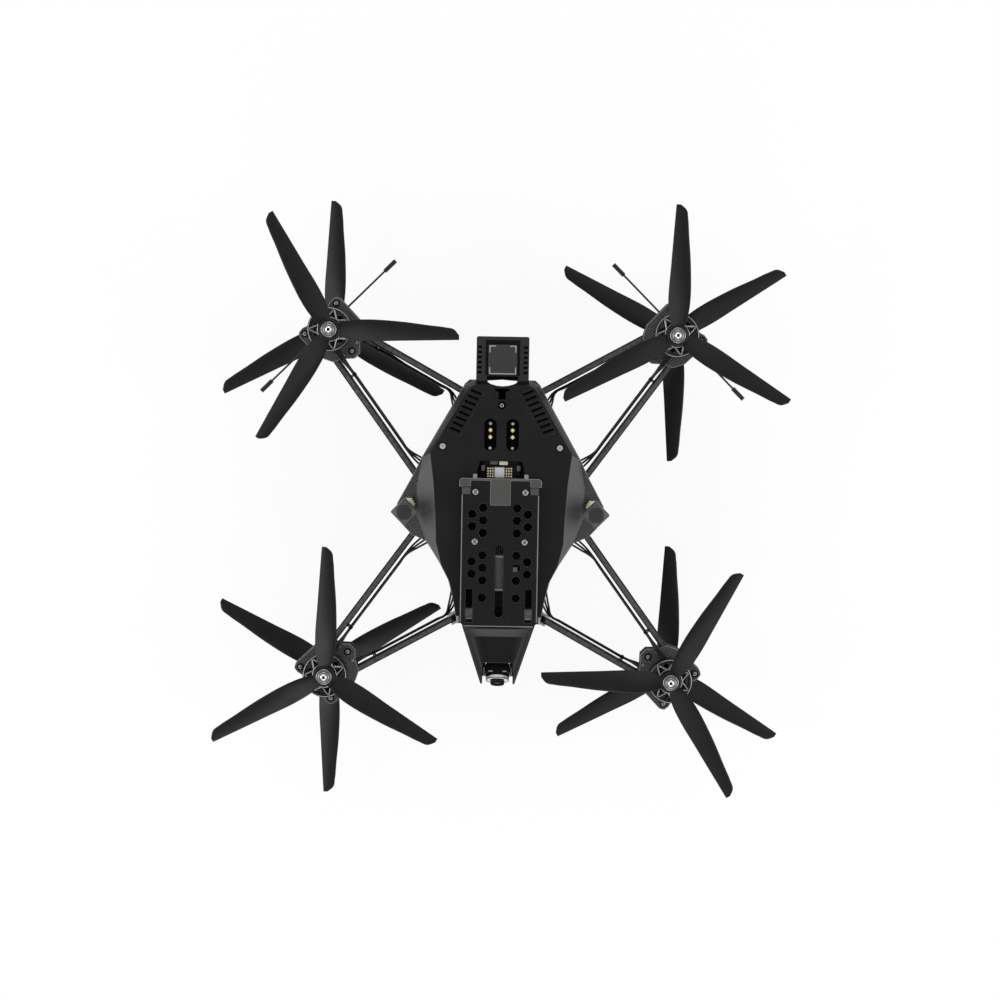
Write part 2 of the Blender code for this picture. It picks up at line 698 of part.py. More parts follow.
for i in range(VENT_COUNT):
    step = i / (VENT_COUNT - 1)
    x, y = (a + (b - a) * step for a, b in zip(VENT_FIRST, VENT_LAST))
    openings += [rectangle(VENT_SIZE, (side * x, y), side * VENT_ANGLE) for side in (1, -1)]
roof_cut = flat("shell_openings", openings, SHELL_TOP - 2.5 * SHELL_WALL, 5 * SHELL_WALL)
boolean(shell, tool("shell_openings", roof_cut))
leg_room = TRAY_HALF_WIDTH + GAP
tail_low = (-leg_room, TRAY_START - TRAY_LEG_LENGTH - GAP, SHELL_FOOT - MM)
tail_high = (leg_room, TRAY_START + MM, SHELL_TOP - SHELL_WALL - MM)
boolean(shell, tool("shell_tail_opening", block("tail", tail_low, tail_high)))

# Battery plate and its stop
stop_half = BATTERY_HALF_WIDTH + STOP_OVERHANG
pad_x = stop_half - STOP_PAD[0]
pad_y = BATTERY_REAR - STOP_PAD[1]
tab_x = STOP_TAB[0] / 2
tab_y = BATTERY_REAR - STOP_TAB[1]
plate_half = [
    (tab_x + GAP, tab_y - GAP), (tab_x + GAP, BATTERY_REAR), (pad_x - GAP, BATTERY_REAR),
    (pad_x - GAP, pad_y - GAP), (BATTERY_HALF_WIDTH, pad_y - GAP),
    (BATTERY_HALF_WIDTH, BATTERY_FRONT + BATTERY_CORNER),
    (BATTERY_HALF_WIDTH - BATTERY_CORNER, BATTERY_FRONT),
]
hex_outer = BATTERY_HALF_WIDTH - HEX_COLUMN
hex_inner = hex_outer - HEX_COLUMN
hex_rear = BATTERY_REAR - HEX_REAR_START
hex_front = BATTERY_FRONT + HEX_FRONT_START
hexes = [(hex_inner, hex_rear - HEX_ROW * i) for i in range(3)]
hexes += [(hex_outer, hex_rear - HEX_ROW * (i + 0.5)) for i in range(2)]
hexes += [(hex_inner, hex_front + HEX_ROW * i) for i in (0, 1.4, 2.4, 3.4)]
hexes += [(hex_outer, hex_front + HEX_ROW * i) for i in (1.9, 2.9)]
holes = [ring(HEX_RADIUS, place, 6) for place in both_sides(hexes)]
side_slot = (
    BATTERY_HALF_WIDTH - SIDE_SLOT_EDGE - SIDE_SLOT[0] / 2,
    BATTERY_FRONT + SIDE_SLOT_FRONT + SIDE_SLOT[1] / 2,
)
holes += [rectangle(SIDE_SLOT, place) for place in both_sides([side_slot])]
holes.append(round_slot(CENTRE_SLOT, (0, BATTERY_FRONT + CENTRE_SLOT_FRONT + CENTRE_SLOT[1] / 2)))
battery = flat("battery", [mirrored(plate_half)] + holes, BATTERY_FLOOR, BATTERY_PLATE_THICK)
placed("battery_plate", battery, CARBON)
strip_y = BATTERY_REAR + GAP
stop_outline = [
    (tab_x, tab_y), (tab_x, strip_y), (pad_x, strip_y), (pad_x, pad_y), (stop_half, pad_y),
    (stop_half, strip_y), (stop_half - STOP_STRIP, strip_y + STOP_STRIP),
]
placed("battery_stop", flat("stop", [mirrored(stop_outline)], BATTERY_FLOOR, BATTERY_PLATE_THICK), RUBBER)


def section(half, y, low, high, top_half=None):
    """Four corners across the nose; top_half is the half width at the top where it differs."""
    upper = half if top_half is None else top_half
    return [(-half, y, low), (half, y, low), (upper, y, high), (-upper, y, high)]


# Nose shell: a tapered block, scooped from above, hollow below and open round the camera
nose_top = BATTERY_FLOOR - GAP
nose_foot = BAY_FLOOR + GAP
tip_low = BELLY_HEIGHT + NOSE_TIP[0]
tip_high = BELLY_HEIGHT + NOSE_TIP[1]
nose = placed("nose_shell", loft("nose", [
    section(NOSE_REAR_HALF, NOSE_REAR, nose_foot, nose_top),
    section(NOSE_FRONT_HALF, NOSE_FRONT, tip_low, tip_high),
]), NOSE_PLASTIC)
past_tip = NOSE_FRONT - NOSE_WALL
over = nose_top + SCOOP_DEPTH


def scoop_ring(y, sunk):
    """Section of the scoop's cutter across the nose at y; it starts above the nose, where it isn't sunk."""
    height = nose_top + (y - NOSE_REAR) / (NOSE_FRONT - NOSE_REAR) * (tip_high - nose_top)
    foot = nose_half(y) - SCOOP_RIM - SCOOP_SLOPE
    half = [(foot + SCOOP_SECTION[0][0] * SCOOP_SLOPE, over)]
    for share, depth in SCOOP_SECTION:
        half.append((foot + share * SCOOP_SLOPE, height - SCOOP_DEPTH * (depth if sunk else -0.5)))
    return [(x, y, z) for x, z in half] + [(-x, y, z) for x, z in reversed(half)]


scoop_start = NOSE_REAR - NOSE_LIP + SCOOP_BEVEL / 2
scoop_foot = NOSE_REAR - NOSE_LIP - SCOOP_BEVEL
scoop_rings = [scoop_ring(scoop_start, False), scoop_ring(scoop_foot, True), scoop_ring(past_tip, True)]
boolean(nose, tool("nose_scoop", loft("scoop", scoop_rings)))
hollow_end = NOSE_BULKHEAD + NOSE_WALL
hollow_top = nose_top - 2.2 * SCOOP_DEPTH
hollow_rear = section(NOSE_REAR_HALF - NOSE_WALL, NOSE_REAR + MM, BELLY_HEIGHT - MM, hollow_top)
hollow_front = section(nose_half(hollow_end) - NOSE_WALL, hollow_end, BELLY_HEIGHT - MM, tip_high - NOSE_WALL)
boolean(nose, tool("nose_hollow", loft("hollow", [hollow_rear, hollow_front])))
roof_low = CAMERA_AT.z + CAMERA_HEIGHT / 2 + MM
ear_inside = CAMERA_WIDTH / 2 + EAR_PLAY
bay_half = ear_inside + EAR_THICK
bay_back = section(bay_half, NOSE_BULKHEAD, BELLY_HEIGHT - MM, roof_low)
bay_front = section(bay_half, past_tip, BELLY_HEIGHT - MM, roof_low)
boolean(nose, tool("camera_bay", loft("bay", [bay_back, bay_front])))
top_back = section(bay_half, NOSE_FLOOR_END, roof_low - MM, over)
top_front = section(bay_half, past_tip, roof_low - MM, over)
boolean(nose, tool("camera_top", loft("bay_top", [top_back, top_front])))
ear_end = CAMERA_AT.y - EAR_FREE_END
for side in (1, -1):
    xs = sorted((side * ear_inside, side * (bay_half + GAP)))
    ear = block("ear", (xs[0], ear_end, CAMERA_AT.z - EAR_HALF_HEIGHT),
                (xs[1], NOSE_BULKHEAD + NOSE_WALL / 2, CAMERA_AT.z + EAR_HALF_HEIGHT))
    boolean(nose, tool(f"camera_ear_{side}", ear), "UNION")
lying = Matrix.Rotation(math.pi / 2, 4, "Y")
pin_reach = bay_half
pin_hole = rod("pin_hole", CAMERA_PIN_RADIUS + 1.5 * GAP, -pin_reach - 2 * GAP, pin_reach + 2 * GAP)
boolean(nose, tool("camera_pin_hole", moved(pin_hole, Matrix.Translation(CAMERA_AT) @ lying)))

# Camera, its origin on the tilt axis
case = block("case", (-CAMERA_WIDTH / 2, -CAMERA_FACE, -CAMERA_HEIGHT / 2),
             (CAMERA_WIDTH / 2, CAMERA_BACK, CAMERA_HEIGHT / 2))
camera = placed("camera", case, CAMERA_CASE)
ring_end = CAMERA_FACE + LENS_RING_LENGTH
lens = turned("lens", [
    (0, ring_end + LENS_LENGTH), (LENS_RADIUS, ring_end + LENS_LENGTH), (LENS_RADIUS, ring_end),
    (LENS_RING_RADIUS, ring_end), (LENS_RING_RADIUS, CAMERA_FACE - MM), (0, CAMERA_FACE - MM),
])
tilt = Matrix.Translation(CAMERA_AT) @ Matrix.Rotation(-CAMERA_TILT, 4, "X")
facing = Matrix.Rotation(math.pi / 2, 4, "X")
boolean(camera, tool("camera_lens", moved(lens, tilt @ facing)), "UNION")
pins = rod("camera_pins", CAMERA_PIN_RADIUS, -pin_reach, pin_reach)
boolean(camera, tool("camera_pins", moved(pins, tilt @ lying)), "UNION")
camera.matrix_world = tilt

# Tail bracket: a tray for the receiver on two legs that stand on the middle plate
tray_end = TRAY_START + TRAY_LENGTH
receiver_x, receiver_y, receiver_z = RECEIVER_SIZE
well_start = TRAY_START + TRAY_BAND + 2 * GAP
tray_floor = DECK + TRAY_LIFT
tray_top = tray_floor + TRAY_HEIGHT
tray_half = [
    (0, TRAY_START + MM), (TRAY_HALF_WIDTH - TRAY_LEG_WIDTH, TRAY_START), (TRAY_HALF_WIDTH, TRAY_START),
    (TRAY_HALF_WIDTH, tray_end - TRAY_CORNER), (TRAY_HALF_WIDTH - TRAY_CORNER, tray_end),
]
slot_x = TRAY_HALF_WIDTH - TRAY_SLOT[0] / 2 - MM
slot_y = well_start + receiver_y / 2 - TRAY_SLOT_PITCH * (TRAY_SLOTS - 1) / 2
slots = [(slot_x, slot_y + TRAY_SLOT_PITCH * i) for i in range(TRAY_SLOTS)]
slots = [rectangle(TRAY_SLOT, place) for place in both_sides(slots)]
bracket = placed("tail_bracket", flat("tray", [mirrored(tray_half)], tray_floor, TRAY_HEIGHT), BRACKET)
slots = flat("slots", slots, tray_top - TRAY_SLOT_DEPTH, TRAY_SLOT_DEPTH + MM)
boolean(bracket, tool("tray_slots", slots))
well_floor = tray_top + RECEIVER_RISE - receiver_z - GAP
well_half = receiver_x / 2 + WELL_SIDE
well_end = well_start + receiver_y + GAP
well_rings = []
for z, end in ((well_floor, well_end), (tray_top + MM, well_end + WELL_SLOPE)):
    corners = ((-1, well_start - GAP), (1, well_start - GAP), (1, end), (-1, end))
    well_rings.append([(side * well_half, y, z) for side, y in corners])
boolean(bracket, tool("receiver_well", loft("well", well_rings)))
for side in (1, -1):
    xs = sorted((side * (TRAY_HALF_WIDTH - TRAY_LEG_WIDTH), side * (TRAY_HALF_WIDTH - GAP)))
    leg = block("leg", (xs[0], TRAY_START - TRAY_LEG_LENGTH, SHELL_FOOT),
                (xs[1], TRAY_START + MM, (tray_floor + tray_top) / 2))
    boolean(bracket, tool(f"bracket_leg_{side}", leg), "UNION")
receiver = block("receiver", (-receiver_x / 2, well_start, well_floor + GAP),
                 (receiver_x / 2, well_start + receiver_y, well_floor + GAP + receiver_z))
placed("receiver_module", receiver, RECEIVER_CASE)

# Front cross beam on the middle plate
on_edge = Matrix(((0, 0, 1, 0), (1, 0, 0, 0), (0, 1, 0, 0), (0, 0, 0, 1)))
beam_foot = DECK + GAP
beam_top = beam_foot + BEAM_HEIGHT
beam_outline = [
    (BEAM_REAR, beam_foot), (BEAM_REAR, beam_top), (BEAM_FRONT + BEAM_CHAMFER, beam_top),
    (BEAM_FRONT, beam_top - BEAM_CHAMFER), (BEAM_FRONT, beam_foot),
]
beam = flat("beam", [beam_outline], -BEAM_HALF_LENGTH, 2 * BEAM_HALF_LENGTH)
placed("cross_beam", moved(beam, on_edge), BEAM_METAL)

# Electronics
board_x, board_y, board_z = BOARD_SIZE
board_low = DECK + BOARD_LIFT
sheet = flat("board", [rectangle((board_x, board_y), (0, BOARD_Y))], board_low, board_z)
board = placed("power_board", sheet, BOARD_GREEN)
spots = [(board_x / 2 - BOARD_INSET, BOARD_Y + side * (board_y / 2 - BOARD_INSET)) for side in (1, -1)]
posts = [ring(BOARD_POST_RADIUS, place, 8) for place in both_sides(spots)]
posts = flat("board_posts", posts, DECK + GAP, BOARD_LIFT - GAP + board_z / 2)
boolean(board, tool("board_posts", posts), "UNION")
chip = flat("chip", [rectangle(CHIP_SIZE, (0, CHIP_Y))], board_low + board_z / 2, CHIP_SIZE[2] + board_z / 2)
boolean(board, tool("board_chip", chip), "UNION")
can = rod("can", CAPACITOR_RADIUS, -CAPACITOR_LENGTH / 2, CAPACITOR_LENGTH / 2, 12)
can = moved(can, Matrix.Translation((0, CAPACITOR_Y, DECK + GAP + CAPACITOR_RADIUS)) @ facing)
placed("capacitor", can, CAPACITOR_CASE)
socket_top = SHELL_TOP - SOCKET_SINK
flange_top = SHELL_TOP - SHELL_WALL - GAP
for side, x in (("left", SOCKET_PLACE[0]), ("right", -SOCKET_PLACE[0])):
    place = (x, SOCKET_PLACE[1])
    body = flat("socket", [round_slot(SOCKET_SIZE, place)], socket_top - SOCKET_SIZE[2], SOCKET_SIZE[2])
    socket = placed(f"power_socket_{side}", body, SOCKET_PLASTIC)
    wide = [size + 2 * SOCKET_FLANGE for size in SOCKET_SIZE[:2]]
    flange = flat("flange", [rectangle(wide, place)], flange_top - SOCKET_FLANGE_THICK, SOCKET_FLANGE_THICK)
    boolean(socket, tool(f"socket_flange_{side}", flange), "UNION")
    contact_y = place[1] + CONTACT_SHIFT
    contacts = [ring(CONTACT_RADIUS, (x, contact_y + k * CONTACT_PITCH / 2), 8) for k in (1, -1)]
    bores = flat("contacts", contacts, socket_top - CONTACT_DEPTH, CONTACT_DEPTH + MM)
    boolean(socket, tool(f"socket_contacts_{side}", bores))

# Video antennas, leaning out and forward from the wings
for side, sx in (("left", 1), ("right", -1)):
    foot = Vector((sx * ANTENNA_PLACE[0], ANTENNA_PLACE[1], DECK + GAP))
    up = Vector((sx * ANTENNA_LEAN[0], ANTENNA_LEAN[1], 1)).normalized()
    lean = Matrix.Translation(foot) @ Vector((0, 0, 1)).rotation_difference(up).to_matrix().to_4x4()
    base = rod("antenna_foot", ANTENNA_FOOT_RADIUS, 0, ANTENNA_FOOT_HEIGHT, 12)
    antenna = placed(f"video_antenna_{side}", moved(base, Matrix.Translation(foot)), ANTENNA_PLASTIC)
    start = ANTENNA_FOOT_HEIGHT + ANTENNA_BARREL_RADIUS * abs(ANTENNA_LEAN[1])
    low, high = start - ANTENNA_FOOT_HEIGHT / 2, ANTENNA_NECK + ANTENNA_CHAMFER / 2
    barrel = rod("barrel", ANTENNA_BARREL_RADIUS, low, high, 10)
    boolean(antenna, tool(f"antenna_barrel_{side}", moved(barrel, lean)), "UNION")
    wide, tall = ANTENNA_HEAD
    narrow = wide - 2 * ANTENNA_CHAMFER
    levels = ((narrow, 0), (wide, ANTENNA_CHAMFER), (wide, tall - ANTENNA_CHAMFER), (narrow, tall))
    head = loft("head", [
        [(x, y, ANTENNA_NECK + z) for x, y in ring(size * math.sqrt(0.5), (0, 0), 4)] for size, z in levels
    ])
    boolean(antenna, tool(f"antenna_head_{side}", moved(head, lean)), "UNION")

# Dipole control antennas through the rear mounts
for corner, sx, sy, *rest in CORNERS[2:]:
    reach = DIPOLE_LENGTH / 2
    whip = turned("whip", [
        (0, reach), (SLEEVE_RADIUS, reach), (SLEEVE_RADIUS, reach - SLEEVE_LENGTH),
        (DIPOLE_RADIUS, reach - SLEEVE_LENGTH), (DIPOLE_RADIUS, SLEEVE_LENGTH - reach),
        (SLEEVE_RADIUS, SLEEVE_LENGTH - reach), (SLEEVE_RADIUS, -reach), (0, -reach),
    ], 8)
    middle_at = on_mount(sx, sy, DIPOLE_ALONG, 0)
    along = Matrix.Rotation(math.atan2(sx, -sy), 4, "Z") @ Matrix.Rotation(math.pi / 2, 4, "Y")
    whip = moved(whip, Matrix.Translation((*middle_at, BAY_MIDDLE)) @ along)
    antenna = placed(f"dipole_antenna_{corner}", whip, ANTENNA_PLASTIC)
    u, v = (size / 2 for size in HOLDER_SIZE)
    outline = [on_mount(sx, sy, DIPOLE_ALONG + a * u, b * v) for a, b in ((-1, -1), (1, -1), (1, 1), (-1, 1))]
    holder = flat("holder", [outline], BAY_FLOOR + GAP, ARM_BAY - 2 * GAP)
    boolean(antenna, tool(f"dipole_holder_{corner}", holder), "UNION")

# Landing skids, cut from plate and stood on edge
skid_top = BELLY_HEIGHT - GAP
frame = [(-SKID_FOOT / 2, 0), (SKID_FOOT / 2, 0), (SKID_FOOT / 2, SKID_TOE), (SKID_TOP / 2, skid_top),
         (-SKID_TOP / 2, skid_top), (-SKID_FOOT / 2, SKID_TOE)]
inside_top = SKID_TOP / 2 - 1.2 * SKID_BAR
inside_foot = SKID_FOOT / 2 - 2 * SKID_BAR
window = [(-inside_foot, SKID_BAR), (inside_foot, SKID_BAR), (inside_top, skid_top - SKID_BAR),
          (-inside_top, skid_top - SKID_BAR)]
for side, sx in (("left", 1), ("right", -1)):
    plate = flat("skid", [frame, window], sx * SKID_PLACE - SKID_THICK / 2, SKID_THICK)
    placed(f"landing_skid_{side}", moved(plate, on_edge), CARBON)

# Round pieces are shaded smooth; pieces that are still cut and joined by modifiers keep flat faces
for thing in parts.objects:
    if not thing.modifiers:
        thing.data.shade_smooth()
        thing.data.set_sharp_from_angle(angle=math.radians(35))
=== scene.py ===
import json
import math

import bmesh
import bpy
from mathutils import Euler, Matrix, Vector


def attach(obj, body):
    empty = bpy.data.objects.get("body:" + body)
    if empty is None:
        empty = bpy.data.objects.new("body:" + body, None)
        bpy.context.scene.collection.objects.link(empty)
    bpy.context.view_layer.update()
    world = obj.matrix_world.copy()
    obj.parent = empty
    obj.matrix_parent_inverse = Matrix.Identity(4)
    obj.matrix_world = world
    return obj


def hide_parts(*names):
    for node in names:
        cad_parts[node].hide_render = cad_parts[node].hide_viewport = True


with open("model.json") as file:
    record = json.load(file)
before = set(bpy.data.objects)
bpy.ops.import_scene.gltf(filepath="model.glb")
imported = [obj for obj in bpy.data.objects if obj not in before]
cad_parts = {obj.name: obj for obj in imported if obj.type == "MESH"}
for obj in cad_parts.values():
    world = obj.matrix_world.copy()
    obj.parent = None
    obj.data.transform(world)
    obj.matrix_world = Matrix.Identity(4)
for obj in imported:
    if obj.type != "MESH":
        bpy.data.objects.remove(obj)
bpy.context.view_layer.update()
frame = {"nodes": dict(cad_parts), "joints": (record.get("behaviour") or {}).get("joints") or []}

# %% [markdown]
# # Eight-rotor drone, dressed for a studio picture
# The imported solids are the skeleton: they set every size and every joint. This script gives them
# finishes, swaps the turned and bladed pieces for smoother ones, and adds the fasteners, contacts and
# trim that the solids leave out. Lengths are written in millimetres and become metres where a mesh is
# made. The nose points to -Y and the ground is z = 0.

MM = 0.001
nodes = frame["nodes"]
joint_at = {joint["name"]: Vector(joint["pos_m"]) for joint in frame["joints"]}

# %% [markdown]
# ## Camera
# The picture looks almost straight down from 2.6 m with a long lens, so the sides of the hull hardly
# show. Place, turn and focal length were solved from points that sit on known parts of the frame.

# %% Camera
camera_data = bpy.data.cameras.new("studio_camera")
camera_data.sensor_width = 36.0
camera_data.lens = 117.30
studio_camera = bpy.data.objects.new("studio_camera", camera_data)
studio_camera.location = (0.00488, 0.16324, 2.6386)
studio_camera.rotation_euler = Euler((-0.0621, 0.0031, 0.0172), "XYZ")
bpy.context.scene.collection.objects.link(studio_camera)
bpy.context.scene.camera = studio_camera
bpy.context.scene.view_settings.view_transform = "Standard"
print("camera:", round(camera_data.lens), "mm lens,", round(studio_camera.location.z, 2), "m up")

# %% [markdown]
# ## Colour and node helpers
# Colours are written as the sRGB hex values that a picture editor shows; shaders work on linear light,
# so one function converts. One more function adds a shader or geometry node, sets its options and
# fills or links its inputs; every tree below is written with it. A Mix node has a set of sockets for
# each kind of data, all with the same names, so those are found by number.

# %% Colour and node helpers
COLOUR_A, COLOUR_B, COLOUR_OUT = 6, 7, 2
FLOAT_A, FLOAT_B = 2, 3


def linear(code):
    """Linear RGBA of an sRGB hex colour such as '#202021'."""
    values = [int(code[i:i + 2], 16) / 255 for i in (1, 3, 5)]
    return (*[v / 12.92 if v <= 0.04045 else ((v + 0.055) / 1.055) ** 2.4 for v in values], 1.0)


def add(tree, kind, inputs=(), **options):
    """Adds a node; inputs maps socket names or numbers to a value or to another node's output."""
    made = tree.nodes.new(kind)
    for option, value in options.items():
        setattr(made, option, value)
    for key, value in dict(inputs).items():
        if isinstance(value, bpy.types.NodeSocket):
            tree.links.new(value, made.inputs[key])
        else:
            made.inputs[key].default_value = value
    return made


def new_material(name):
    """Empty node material with its shader and the Object coordinates."""
    made = bpy.data.materials.new(name)
    made.use_nodes = True
    tree = made.node_tree
    shader = tree.nodes["Principled BSDF"]
    place = tree.nodes.new("ShaderNodeTexCoord").outputs["Object"]
    return made, tree, shader, place


def hook(tree, output, shader, socket):
    """Links an output to one of the shader's sockets."""
    tree.links.new(output, shader.inputs[socket])


print("#808080 is", round(linear("#808080")[0], 2), "in linear light")

# %% [markdown]
# ## Grained plastics and rubbers
# Most of the airframe is moulded or printed polymer. What tells one from another is how dark it is, how
# wide its sheen is and how coarse its grain is. One recipe takes these numbers: a broad noise drifts the
# colour between two hex values, a fine one roughens the surface and raises a bump. Moulding grain is
# about 0.1 mm on the real thing; it is drawn at 0.4 to 0.9 mm, because anything finer would not show.

# %% Grained plastics and rubbers
GRAIN_DEPTH = 0.2 * MM
SHEEN_SPREAD = 0.07


def grained(name, dark, light, grain_mm, roughness, specular=0.3, bump=0.15, drift_mm=30.0):
    """Polymer with a colour that drifts between two values and a grain of a given size."""
    made, tree, shader, place = new_material(name)
    drift = add(tree, "ShaderNodeTexNoise", {"Vector": place, "Scale": 1000 / drift_mm, "Detail": 3.0})
    grain = add(tree, "ShaderNodeTexNoise", {"Vector": place, "Scale": 1000 / grain_mm, "Detail": 2.0})
    summed = add(tree, "ShaderNodeMath", {0: drift.outputs["Fac"], 1: grain.outputs["Fac"]}, operation="ADD")
    blend = add(tree, "ShaderNodeMapRange", {"Value": summed.outputs[0], "From Min": 0.7, "From Max": 1.3})
    tint = add(tree, "ShaderNodeMix", {
        "Factor": blend.outputs[0], COLOUR_A: linear(dark), COLOUR_B: linear(light)}, data_type="RGBA")
    rough = add(tree, "ShaderNodeMapRange", {
        "Value": grain.outputs["Fac"], "From Min": 0.3, "From Max": 0.7,
        "To Min": roughness - SHEEN_SPREAD, "To Max": roughness + SHEEN_SPREAD})
    raised = add(tree, "ShaderNodeBump", {
        "Height": grain.outputs["Fac"], "Strength": bump, "Distance": GRAIN_DEPTH})
    hook(tree, tint.outputs[COLOUR_OUT], shader, "Base Color")
    hook(tree, rough.outputs[0], shader, "Roughness")
    hook(tree, raised.outputs[0], shader, "Normal")
    shader.inputs["Specular IOR Level"].default_value = specular
    return made


# glass-filled nylon: an even black with a long soft sheen, and only faint clouding along the blade
BLADE = grained("glass_filled_nylon_blade", "#111112", "#161617", 0.9, 0.5,
                specular=0.2, bump=0.1, drift_mm=60.0)
print("blade finish with", len(BLADE.node_tree.nodes), "nodes")

# %% [markdown]
# ## Painted light and shade that follow the form
# The hull's top is black. Painted light turns its steep flanks grey, painted shade darkens its tail again,
# and painted light brightens the scooped nose towards its rims. These painted tones are mixed over the grain
# by a share from 0 to 1.
# The share comes from the way a face looks or from its place on the object, so it stays on the part in every
# view.

# %% Painted light and shade that follow the form
# painted light on steep faces and painted shade on faces that look back: the normal's axis, then where the
# tone starts and ends
PAINTED_FLANK_LIGHT = ("Z", 0.92, 0.8)
PAINTED_TAIL_SHADE = ("Y", 0.18, 0.3)
# span and half widths over which the nose's painted rim light grows
NOSE_Y = (-93.3 * MM, -141.0 * MM)
NOSE_HALF = (28.6 * MM, 13.4 * MM)


def mixed_over(made, share, colour):
    """Mixes a colour over a finish by the share that a node gives."""
    tree = made.node_tree
    base = tree.nodes["Principled BSDF"].inputs["Base Color"]
    tint = add(tree, "ShaderNodeMix", {
        "Factor": share.outputs[0], COLOUR_A: base.links[0].from_socket, COLOUR_B: linear(colour)},
        data_type="RGBA")
    tree.links.new(tint.outputs[COLOUR_OUT], base)


def painted_by_facing(made, axis, start, end, colour):
    """Paints a tone of light or shade over faces as one axis of their normal goes from start to end."""
    tree = made.node_tree
    normal = add(tree, "ShaderNodeNewGeometry").outputs["True Normal"]
    split = add(tree, "ShaderNodeSeparateXYZ", {0: normal})
    share = add(tree, "ShaderNodeMapRange", {
        "Value": split.outputs[axis], "From Min": start, "From Max": end})
    mixed_over(made, share, colour)


def painted_rim_light(made, colour):
    """Paints light over a nose finish, growing from its middle to its rims, as light would run up a scooped
    floor.
    """
    tree = made.node_tree
    place = next(node for node in tree.nodes if node.type == "TEX_COORD").outputs["Object"]
    split = add(tree, "ShaderNodeSeparateXYZ", {0: place})
    aside = add(tree, "ShaderNodeMath", {0: split.outputs["X"]}, operation="ABSOLUTE")
    half = add(tree, "ShaderNodeMapRange", {
        "Value": split.outputs["Y"], "From Min": NOSE_Y[0], "From Max": NOSE_Y[1],
        "To Min": NOSE_HALF[0], "To Max": NOSE_HALF[1]})
    reach = add(tree, "ShaderNodeMath", {0: aside.outputs[0], 1: half.outputs[0]}, operation="DIVIDE")
    share = add(tree, "ShaderNodeMapRange", {"Value": reach.outputs[0], "From Min": 0.5, "From Max": 0.88},
                interpolation_type="SMOOTHSTEP")
    mixed_over(made, share, colour)


# nylon blasted after moulding: a matt black roof, painted light that turns the steep flanks grey, and
# painted shade that darkens the tail again
SHELL = grained("nylon_shell_painted_light_and_shade", "#161617", "#1f1f20", 0.7, 0.55, specular=0.12)
painted_by_facing(SHELL, *PAINTED_FLANK_LIGHT, "#4e4e4f")
painted_by_facing(SHELL, *PAINTED_TAIL_SHADE, "#151516")
# nylon as it leaves the mould: a deep black floor, with painted light on its steep sides and towards its
# rims
NOSE = grained("nylon_nose_painted_light", "#0b0b0c", "#111112", 0.7, 0.5, specular=0.12)
painted_by_facing(NOSE, *PAINTED_FLANK_LIGHT, "#3d3d3e")
painted_rim_light(NOSE, "#2e2e2f")
# moulded ABS: satin dark grey caps, with painted light on their steep chamfers
ANTENNA = grained("antenna_abs_painted_light", "#262627", "#2f2f30", 0.6, 0.5)
painted_by_facing(ANTENNA, *PAINTED_FLANK_LIGHT, "#414142")
print("shell finish with", len(SHELL.node_tree.nodes), "nodes")

# %% [markdown]
# ## Plain plastics and rubbers
# The smaller mouldings need no more than the recipe. The eye tells soft from hard by the sheen, so the
# rubbers have the higher roughness, and it tells depth by darkness, so what lies inside gets painted shade:
# a nearly black finish.

# %% Plain plastics and rubbers
# printed TPU: dull and finely ribbed, a shade lighter than the shell
TRAY = grained("printed_tpu_tray", "#1d1d1e", "#272728", 0.5, 0.6, bump=0.3)
# grey TPU: a soft mid grey with hardly any shine
STOP = grained("grey_tpu_stop", "#3e3e3d", "#4a4a49", 0.6, 0.65, bump=0.25)
# the same TPU in a pale tone: on the stop's bevels it is a painted highlight along the edges
PALE_TPU = grained("pale_tpu", "#717170", "#82827f", 0.6, 0.6, bump=0.2)
# silicone rubber: smooth and black, with a thin line of light along each lead
SILICONE = grained("silicone_lead", "#101011", "#181819", 0.4, 0.5, bump=0.05)
# moulded black ABS: even, with a soft highlight where it turns
BLACK_CASE = grained("black_abs_case", "#151516", "#1e1e1f", 0.5, 0.45)
# moulded grey ABS: one tone lighter than the black parts that it sits on
GREY_CASE = grained("grey_abs_case", "#2b2b2c", "#363637", 0.6, 0.5)
# the same ABS as a wide lid: a calm dark grey field
LID = grained("grey_abs_lid", "#2d2d2e", "#373738", 0.6, 0.5)
# jet black nylon: black with almost no shine, for black trim, and laid as painted shade in hollows and under
# openings
JET_AND_SHADE = grained("jet_black_nylon_and_painted_shade", "#060606", "#0a0a0a", 0.6, 0.6, specular=0.12, bump=0.05)
# painted shade: a black with no shine, laid where a gap or opening would lie in shade, so that it reads as
# an opening; the sockets and the eyelet's ring, which are black themselves, take it too
SHADE_BLACK = grained("black_painted_shade", "#010101", "#030303", 0.6, 0.7, specular=0.03, bump=0.05)
# scuffed ABS: grey blocks that stand out from the dark board
WORN = grained("worn_plastic_edge", "#727273", "#868687", 0.6, 0.5)
# solder mask on a circuit board: black lacquer, smoother and glossier than the mouldings
SOLDER_MASK = grained("black_solder_mask", "#0e0f10", "#17181a", 0.8, 0.35, bump=0.05)
print(len(bpy.data.materials), "materials so far")

# %% [markdown]
# ## Metals
# Screws, nuts and shafts are turned or rolled metal: fine marks of the tool break up the highlight. A
# metal has almost no diffuse colour, so its hex value is the tint of its mirror image. A noise stands
# in for the tool marks; real ones are under 0.1 mm, and 0.5 mm is the finest that shows. Small bright
# parts that face straight up would mirror nothing but the dark air above them. The real ones are finely
# blasted or milled and scatter light, so these take the grained recipe with more shine.

# %% Metals
MARK_DEPTH = 0.1 * MM
MARK_SPREAD = 0.08
MARK_SHADE = 0.8


